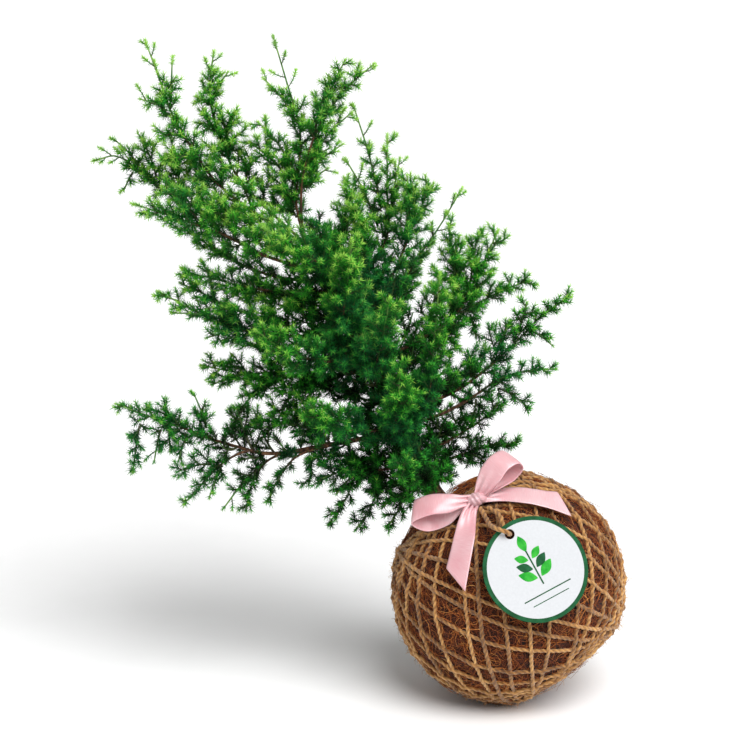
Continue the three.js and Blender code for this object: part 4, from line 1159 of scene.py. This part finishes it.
# The limbs whose side shoots reach another length.
BREADTH = {
    "crest_back": 6, "back_high": 7, "crest_right": 5.5, "right_shoulder": 7, "right_lower": 7,
    "low_branch_tip": 7, "low_branch_a": 4, "low_branch_b": 5, "low_branch_c": 5, "low_left_a": 7,
    "low_left_b": 7, "low_left_c": 9, "right_middle": 5.5, "right_far": 5.5, "right_foot": 7,
    "right_upper": 10, "right_high": 6, "right_crest": 8, "front_right": 9, "crest_left": 5,
    "crest_mid_left": 6.5, "crest_centre": 6.5, "far_left_high": 5, "far_left_low": 7.5,
    "left_back": 8, "left_upper": 8, "left_middle": 7, "right_crest_left": 5,
}
total = 0
for index, (name, _, points) in enumerate(limbs):
    draw = np.random.default_rng(400 + index)
    heap = Heap()
    shoot = smooth_line(points, np.linspace(LEAFY_FROM.get(name, LEAFY_START), 1, SHOOT_POINTS))
    add_shoot(heap, shoot, index, BREADTH.get(name, MOST_BREADTH), LEADER_FROM.get(name, 1.0))
    for number, (share, tip, breadth) in enumerate(PLUMES.get(name, [])):
        foot, tip = smooth_line(points, share)[0], seen_at(*tip)
        middle = (foot + tip) / 2 + [0, 0, PLUME_ARCH * np.linalg.norm(foot - tip)]
        line = even_line([foot, middle, tip], SHOOT_POINTS)
        leader = 1.0 if breadth > LEADER_BREADTH else PLUME_LEADER
        add_shoot(heap, line, index + 9 * number, breadth, leader)
    finished(f"foliage_{name}", heap.mesh(name), [needle_skin, stem_skin], [f"spray_{name}"])
    total += pieces_made[-1][1]
print("foliage triangles:", total)

# %% [markdown]
# ## Foliage close to the trunk
# Short leafy shoots also stand on the trunk itself and along the long low branch, and fill the
# middle of the plant, where it is darkest. They are grown by the same rule, with a darker tint
# that stands for older foliage and for painted shade in the dense middle.

# %% Grow the inner shoots
trunk_line = smooth_line(TRUNK, np.linspace(0, 1, 40))
low_line = smooth_line(low_branch, np.linspace(0, 1, 30))
INNER = [
    # name, stem, first and last place on it, shoots, shortest and longest, rise
    ("trunk_foot", trunk_line, 0.02, 0.36, 20, 22, 38, 0.45),
    ("trunk_middle", trunk_line, 0.30, 0.66, 18, 30, 46, 0.5),
    ("trunk_crown", trunk_line, 0.58, 0.86, 14, 22, 34, 0.5),
    ("low_branch", low_line, 0.10, 0.97, 15, 14, 23, 1.6),
]
for index, (name, stem, first_place, last_place, count, short, long, rise) in enumerate(INNER):
    draw = np.random.default_rng(900 + index)
    places = np.linspace(first_place, last_place, count)
    shoots = side_shoots(stem, places, draw.uniform(short, long, count), 0.7 * index, 1.7, 0.25, rise)
    heap = Heap()
    for number, shoot in enumerate(shoots):
        line = even_line(shoot, MAIN_STEPS + 1)[None]
        add_stems(heap, main_rod, line, np.linspace(0.7, 0.36, MAIN_STEPS + 1), 0.15, 0.4)
        # Darker than the sprays: older foliage, and painted shade in the plant's dense middle.
        grow(heap, shoot, number, INNER_SPACING, INNER_BREADTH, INNER_TIP_LENGTH, young=0.10, age_and_shade=0.18)
    finished(f"foliage_{name}", heap.mesh(name), [needle_skin, stem_skin])
    print(name, pieces_made[-1][1], "triangles")

# %% [markdown]
# ## Satin ribbon
# Satin is woven so that its threads float on one face: it is smooth, with a broad soft shine
# across the threads. It is dyed pink, and so thin that a little light goes through. Anisotropy
# along the UV map gives the drawn-out shine, and a very fine rib along the width breaks it up.

# %% Make the satin
satin, tree, shader = new_material(
    "woven_satin_ribbon", Roughness=0.32, Anisotropic=0.7, Specular_IOR_Level=0.8,
    Sheen_Weight=0.1, Sheen_Roughness=0.4,
    Subsurface_Weight=0.3, Subsurface_Radius=(1.0, 0.5, 0.5), Subsurface_Scale=0.002)
thread_run = add_node(tree, "ShaderNodeTangent", direction_type="UV_MAP", uv_map="weave")
tree.links.new(thread_run.outputs["Tangent"], shader.inputs["Tangent"])
ribs = noise_on(tree, stretched(tree, woven_uv(tree), Scale=(3, 240, 1)), 1, 3)
shade = reckoned(tree, "MULTIPLY", ribs, noise_on(tree, object_spot(tree), 60, 1))
colour = ramp(tree, shade, (0.05, "#d38e97"), (0.3, "#dfb0b4"), (0.55, "#e8c8ca"))
surface(tree, shader, colour, ribs, 0.12, 0.0001)
print("material", satin.name)

# %% [markdown]
# ## The bow
# The bow is one length of 12 mm ribbon: two loops, two tails and a knot that pinches them. The
# ribbon is a grid bent through stations, each with a place, a direction for its width and a width.
# Near the knot it gathers into pleats, and each tail is cut on a slant.

# %% Fold the ribbon
NET_RADIUS = 60
RIBBON_THICKNESS = 0.35
RIBBON_COLUMNS = 16
GATHER_REACH = 9           # how far from the knot the ribbon is drawn together
PLEATS = 2.6               # across the ribbon, where it is gathered
PLEAT_DEPTH = 1.1
RIPPLE_DEPTH = 0.25
# The ball's middle in the bow's frame.
ball_in_bow = np.array([17.6, -46.12, -39.87])


def over_ball(x, y, lift):
    """A place above the net, by where it is on the bow's face."""
    dx, dy = x - ball_in_bow[0], y - ball_in_bow[1]
    return (x, y, ball_in_bow[2] + math.sqrt((NET_RADIUS + lift) ** 2 - dx * dx - dy * dy))


def fold_ribbon(bm, stations, steps, slant, cupped, pleat_phase):
    """Adds a strip of ribbon through (place, width direction, width) stations.

    At the end one corner runs on further than the other by slant. Along the middle the ribbon
    stands above its edges by a quarter of cupped.
    """
    places = [place for place, _, _ in stations]
    widths = [unit(np.array(way, float)) * width for _, way, width in stations]
    made = bmesh.ops.create_grid(bm, x_segments=RIBBON_COLUMNS, y_segments=steps, size=0.5,
                                 calc_uvs=True)["verts"]
    flat = np.array([vert.co[:2] for vert in made])
    share = flat[:, 1] + 0.5
    middle = smooth_line(places, share)
    ahead = unit(smooth_line(places, share + 0.004) - smooth_line(places, share - 0.004))
    wide = smooth_line(widths, share)
    face = unit(np.cross(wide, ahead))
    gather = np.exp(-(np.linalg.norm(middle, axis=1) / GATHER_REACH) ** 2)
    pleats = PLEAT_DEPTH * gather * np.cos(2 * np.pi * PLEATS * flat[:, 0] + pleat_phase)
    crown = cupped * (0.25 - 4 * flat[:, 0] ** 4) * (1 - gather)
    ripple = RIPPLE_DEPTH * np.sin(9 * share + 3 * flat[:, 0] + pleat_phase) * (1 - gather)
    spots = (middle + wide * flat[:, :1] + face * (pleats + crown + ripple)[:, None]
             + ahead * (slant * flat[:, 0] * np.maximum(0, 4 * share - 3))[:, None])
    for vert, spot in zip(made, from_bow(spots) * MM):
        vert.co = spot
    return line_length(smooth_line(places, np.linspace(0, 1, 60)))


along_ball = (0, 0.62, -0.78)
LEFT_LOOP = [
    ((-1, 0, 1.5), (0, 1, 0.2), 5), ((-7, -1.2, 3.4), (0, 1, 0.1), 6.5),
    ((-13, -2, 4.8), (0, 1, -0.2), 9.5), ((-23, -2.8, 4.6), (0.05, 1, -0.5), 11.5),
    ((-31, -6.6, 1.6), (0.12, 1, -0.4), 12), ((-24.5, -10.2, -1.4), (0, 1, -0.3), 12),
    ((-13, -7.6, -0.6), (0, 1, -0.1), 10), ((-6.5, -3.4, 0.4), (0.2, 1, 0), 6.5),
    ((-1, 0, 0.8), (0, 1, 0), 4.5),
]
RIGHT_LOOP = [
    ((1, 1, 1.5), (1, -0.6, 0.2), 5), ((4, 7, 4), (0.8, -0.55, 0.25), 9.5),
    ((7, 12.5, 5.6), (0.72, -0.55, 0.4), 12), ((11, 17.8, 5.6), (0.68, -0.54, 0.5), 12),
    ((16.6, 20.6, 2.8), (0.66, -0.54, 0.52), 12), ((18.8, 17.8, -1.6), (0.66, -0.54, 0.52), 12),
    ((14.6, 12.6, -2.6), (0.7, -0.55, 0.4), 12), ((8.8, 7.6, -1), (0.8, -0.55, 0.3), 9),
    ((1, 1, 0.8), (1, -0.5, 0), 4.5),
]
RIGHT_TAIL = [
    ((1, 0.5, 1), along_ball, 5), (over_ball(12, 1.8, 1.2), along_ball, 9),
    (over_ball(24, 1.4, 1.2), along_ball, 12), (over_ball(34, -0.4, 1.4), along_ball, 12),
    (over_ball(43, -2.8, 2.2), (0.1, 0.75, -0.6), 12),
]
DOWN_TAIL = [
    ((-0.5, -0.5, 1.5), (1, 0, 0), 5), (over_ball(-3.4, -6, 2.2), (1, 0, -0.3), 7.5),
    (over_ball(-6.2, -19, 1.6), (1, -0.1, 0.45), 11),
    (over_ball(-10.4, -38.6, 2.4), (1, -0.2, 0.5), 12),
]
STRIPS = [
    # stations, steps, slant, cupped
    (LEFT_LOOP, 90, 0, 2.4), (RIGHT_LOOP, 84, 0, 2.4),
    (RIGHT_TAIL, 56, -8, -0.8), (DOWN_TAIL, 56, 9, -0.8),
]
bm = bmesh.new()
bm.loops.layers.uv.new("weave")
ribbon_length = sum(fold_ribbon(bm, *strip, 0.9 * number) for number, strip in enumerate(STRIPS))

# %% Tie the knot
KNOT_HALVES = (4.9, 3.1, 3.0)      # half of its width, height and depth
KNOT_LIFT = 1.9
made = bmesh.ops.create_uvsphere(bm, u_segments=40, v_segments=28, radius=1, calc_uvs=True)["verts"]
for vert in made:
    x, y, z = vert.co
    fold = 1 + (0.10 * math.cos(13 * x + 3 * y) + 0.03 * math.cos(5 * y)) * (1 - x ** 4)
    half_width, half_height, half_depth = KNOT_HALVES
    place = (half_width * x - 0.9 * y, half_height * y * fold + 1.1 * x,
             half_depth * z * fold + KNOT_LIFT)
    vert.co = from_bow(place) * MM
ribbon_area = sum(face.calc_area() for face in bm.faces)
bmesh.ops.solidify(bm, geom=bm.faces[:], thickness=RIBBON_THICKNESS * MM)
mesh = bpy.data.meshes.new("ribbon_bow")
bm.to_mesh(mesh)
bm.free()
ribbon_bow = finished("ribbon_bow", mesh, [satin], ["satin_bow"])
print(f"ribbon: {ribbon_length:.0f} mm long, {ribbon_area / MM ** 2:.0f} square mm")

# %% [markdown]
# ## The card tag
# The tag is a round of matt coated white card, 52 mm across, with a printed green rim. It leans on
# the net. Two circles bridged together leave the hole, and a thin band of faces along the rim takes
# the green ink. The print is left generic: a plain sprig and two ruled lines, as thin layers of ink.

# %% Make the card and ink materials
card, tree, shader = new_material("matt_coated_white_card", Roughness=0.5, Specular_IOR_Level=0.3)
# Paper fibres are too fine to show: the mottle is drawn at 1 mm.
mottle = noise_on(tree, object_spot(tree), 900, 4)
surface(tree, shader, ramp(tree, mottle, (0.3, "#b9bbbe"), (0.7, "#bfc1c4")), mottle, 0.08, 0.0001)
INKS = (("dark_green_ink", "#1a4428", "#225a38"), ("leaf_green_ink", "#1f8a2c", "#3fae3c"))
inks = []
for name, dark, light in INKS:
    ink, tree, shader = new_material(f"offset_printed_{name}", Roughness=0.6, Specular_IOR_Level=0.05)
    mottle = noise_on(tree, object_spot(tree), 260, 3)
    surface(tree, shader, ramp(tree, mottle, (0.35, dark), (0.65, light)))
    inks.append(ink)
dark_ink, leaf_ink = inks
print("materials", card.name, dark_ink.name, leaf_ink.name)

# %% Cut the tag
TAG_RADIUS = 26
RIM_WIDTH = 2.0
TAG_THICKNESS = 0.8
HOLE_OFFSET = 21
HOLE_RADIUS = 2.5
TAG_SEAT = 60.7            # from the ball's middle to the card's
TAG_AZIMUTH = math.radians(11)
TAG_ELEVATION = math.radians(27)
TAG_TURN = math.radians(32)
PRINT_TURN = math.radians(24)
tag_from_ball = Vector((0, -math.cos(TAG_ELEVATION), math.sin(TAG_ELEVATION))) * TAG_SEAT
tag_place = (Matrix.Translation(Vector(BALL_CENTRE)) @ Matrix.Rotation(TAG_AZIMUTH, 4, "Z")
             @ Matrix.Translation(tag_from_ball)
             @ Matrix.Rotation(math.pi / 2 - TAG_ELEVATION, 4, "X"))
on_tag = tag_place @ Matrix.Rotation(TAG_TURN, 4, "Z")
print_turn = tag_place @ Matrix.Rotation(PRINT_TURN, 4, "Z")
in_metres = Matrix.Scale(MM, 4)

bm = bmesh.new()
bm.loops.layers.uv.new("weave")
outer = bmesh.ops.create_circle(bm, segments=120, radius=TAG_RADIUS)["verts"]
inner = bmesh.ops.create_circle(bm, segments=120, radius=TAG_RADIUS - RIM_WIDTH)["verts"]
hole = bmesh.ops.create_circle(bm, segments=40, radius=HOLE_RADIUS,
                               matrix=Matrix.Translation((0, HOLE_OFFSET, 0)))["verts"]


def edges_of(verts):
    """The edges that have both ends among the given corners."""
    verts = set(verts)
    return list({edge for vert in verts for edge in vert.link_edges if edge.other_vert(vert) in verts})


outer_edges, inner_edges, hole_edges = edges_of(outer), edges_of(inner), edges_of(hole)
for face in bmesh.ops.bridge_loops(bm, edges=outer_edges + inner_edges)["faces"]:
    face.material_index = 1
# New faces take the ink of their neighbours, so the white ones are set back to the card.
for face in bmesh.ops.bridge_loops(bm, edges=inner_edges + hole_edges)["faces"]:
    face.material_index = 0
bmesh.ops.recalc_face_normals(bm, faces=bm.faces)
bmesh.ops.solidify(bm, geom=bm.faces[:], thickness=TAG_THICKNESS)
top = max(vert.co.z for vert in bm.verts)
bmesh.ops.translate(bm, verts=bm.verts, vec=(0, 0, TAG_THICKNESS / 2 - top))
bmesh.ops.transform(bm, matrix=in_metres @ on_tag, verts=bm.verts)
mesh = bpy.data.meshes.new("tag_card")
bm.to_mesh(mesh)
bm.free()
tag_card = finished("tag_card", mesh, [card, dark_ink], ["swing_tag"], smooth=False)
print("tag:", pieces_made[-1])

# %% Print the sprig
INK_THICKNESS = 0.05
INK_RISE = 0.04            # above the card's face
LEAF_LEAN = 56             # degrees from the sprig's stem to a side leaf
LEAF_PAIRS = (-4.2, 0.6, 5.4)
# The sprig's stem and the two ruled lines: middle, width and height.
BARS = ((0, 1, 0.8, 18), (0, -12, 26, 0.6), (0, -15.6, 20, 0.45))
bm = bmesh.new()
bm.loops.layers.uv.new("weave")


def printed_leaf(x, y, length, width, angle, ink):
    """A pointed leaf of ink that starts at x, y on the card, angle degrees from the right."""
    made = bmesh.ops.create_circle(bm, cap_ends=True, segments=28, radius=0.5)["verts"]
    for vert in made:
        vert.co.y *= 1 - (2 * vert.co.x) ** 2 * 0.65
        vert.co.x += 0.5
    place = (Matrix.Translation((x, y, 0)) @ Matrix.Rotation(math.radians(angle), 4, "Z")
             @ Matrix.Diagonal((length, width * 1.25, 1, 1)))
    bmesh.ops.transform(bm, matrix=place, verts=made)
    made[0].link_faces[0].material_index = ink


printed_leaf(0, 9.6, 8.5, 3.6, 90, 1)
for k, height in enumerate(LEAF_PAIRS):
    for side in (-1, 1):
        printed_leaf(1.1 * side, height, 9.6 - 1.3 * k, 3.9 - 0.4 * k, 90 - side * LEAF_LEAN,
                     int(k != 1))
for x, y, wide, tall in BARS:
    bar = bmesh.ops.create_grid(bm, x_segments=1, y_segments=1, size=0.5)["verts"]
    place = Matrix.Translation((x, y, 0)) @ Matrix.Diagonal((wide, tall, 1, 1))
    bmesh.ops.transform(bm, matrix=place, verts=bar)
up_faces = bm.faces[:]
bmesh.ops.recalc_face_normals(bm, faces=up_faces)
for face in up_faces:
    if face.normal.z < 0:
        face.normal_flip()
bmesh.ops.solidify(bm, geom=up_faces, thickness=INK_THICKNESS)
top = max(vert.co.z for vert in bm.verts)
bmesh.ops.translate(bm, verts=bm.verts, vec=(0, 0, TAG_THICKNESS / 2 + INK_RISE - top))
bmesh.ops.transform(bm, matrix=in_metres @ print_turn, verts=bm.verts)
mesh = bpy.data.meshes.new("tag_print")
bm.to_mesh(mesh)
bm.free()
finished("tag_print", mesh, [dark_ink, leaf_ink], smooth=False)
print("print:", pieces_made[-1])

# %% [markdown]
# ## The soft pieces
# The tag's twine is a free cord and the bow is a sheet of cloth. Both are made above: the twine
# along its route, the ribbon along its middle lines.

# %% [markdown]
# ## Floor and light
# A white sweep under one wide, soft light from the front right and above, in white surroundings, as
# in a product picture. The light is a sun 45 degrees wide, so the shadow falls softly to the left
# and behind.

# %% Floor, light and surroundings
KEY_DIRECTION = Vector((-0.34, 0.57, -0.75))
KEY_WIDTH = math.radians(45)
KEY_STRENGTH = 3.75
SURROUNDINGS_STRENGTH = 0.37
FLOOR_HALF_WIDTH = 6       # in metres
paper, tree, shader = new_material("white_paper_sweep", Roughness=0.7)
mottle = noise_on(tree, object_spot(tree), 40, 3)
surface(tree, shader, ramp(tree, mottle, (0.3, "#fbfbfb"), (0.7, "#fdfdfd")))
bm = bmesh.new()
bmesh.ops.create_grid(bm, x_segments=8, y_segments=8, size=FLOOR_HALF_WIDTH)
mesh = bpy.data.meshes.new("paper_sweep")
bm.to_mesh(mesh)
bm.free()
mesh.materials.append(paper)
sweep = bpy.data.objects.new("paper_sweep", mesh)
bpy.context.scene.collection.objects.link(sweep)

sun_data = bpy.data.lights.new("key_light", "SUN")
sun_data.energy = KEY_STRENGTH
sun_data.angle = KEY_WIDTH
sun = bpy.data.objects.new("key_light", sun_data)
sun.rotation_euler = KEY_DIRECTION.to_track_quat("-Z", "Y").to_euler()
bpy.context.scene.collection.objects.link(sun)
world = bpy.data.worlds.new("white_studio")
world.use_nodes = True
surroundings = world.node_tree.nodes["Background"]
surroundings.inputs["Color"].default_value = (1, 1, 1, 1)
surroundings.inputs["Strength"].default_value = SURROUNDINGS_STRENGTH
bpy.context.scene.world = world
bpy.context.scene.view_settings.view_transform = "Standard"

# %% [markdown]
# ## Count the pieces and finish
# The pieces and their triangles are counted and printed. The dressed model has to stay in the
# solid model's box, apart from a little fluff.

# %% Count the pieces and finish
print("pieces:", len(pieces_made), "triangles:", sum(count for _, count in pieces_made))
print("largest pieces:", sorted(pieces_made, key=lambda item: -item[1])[:6])
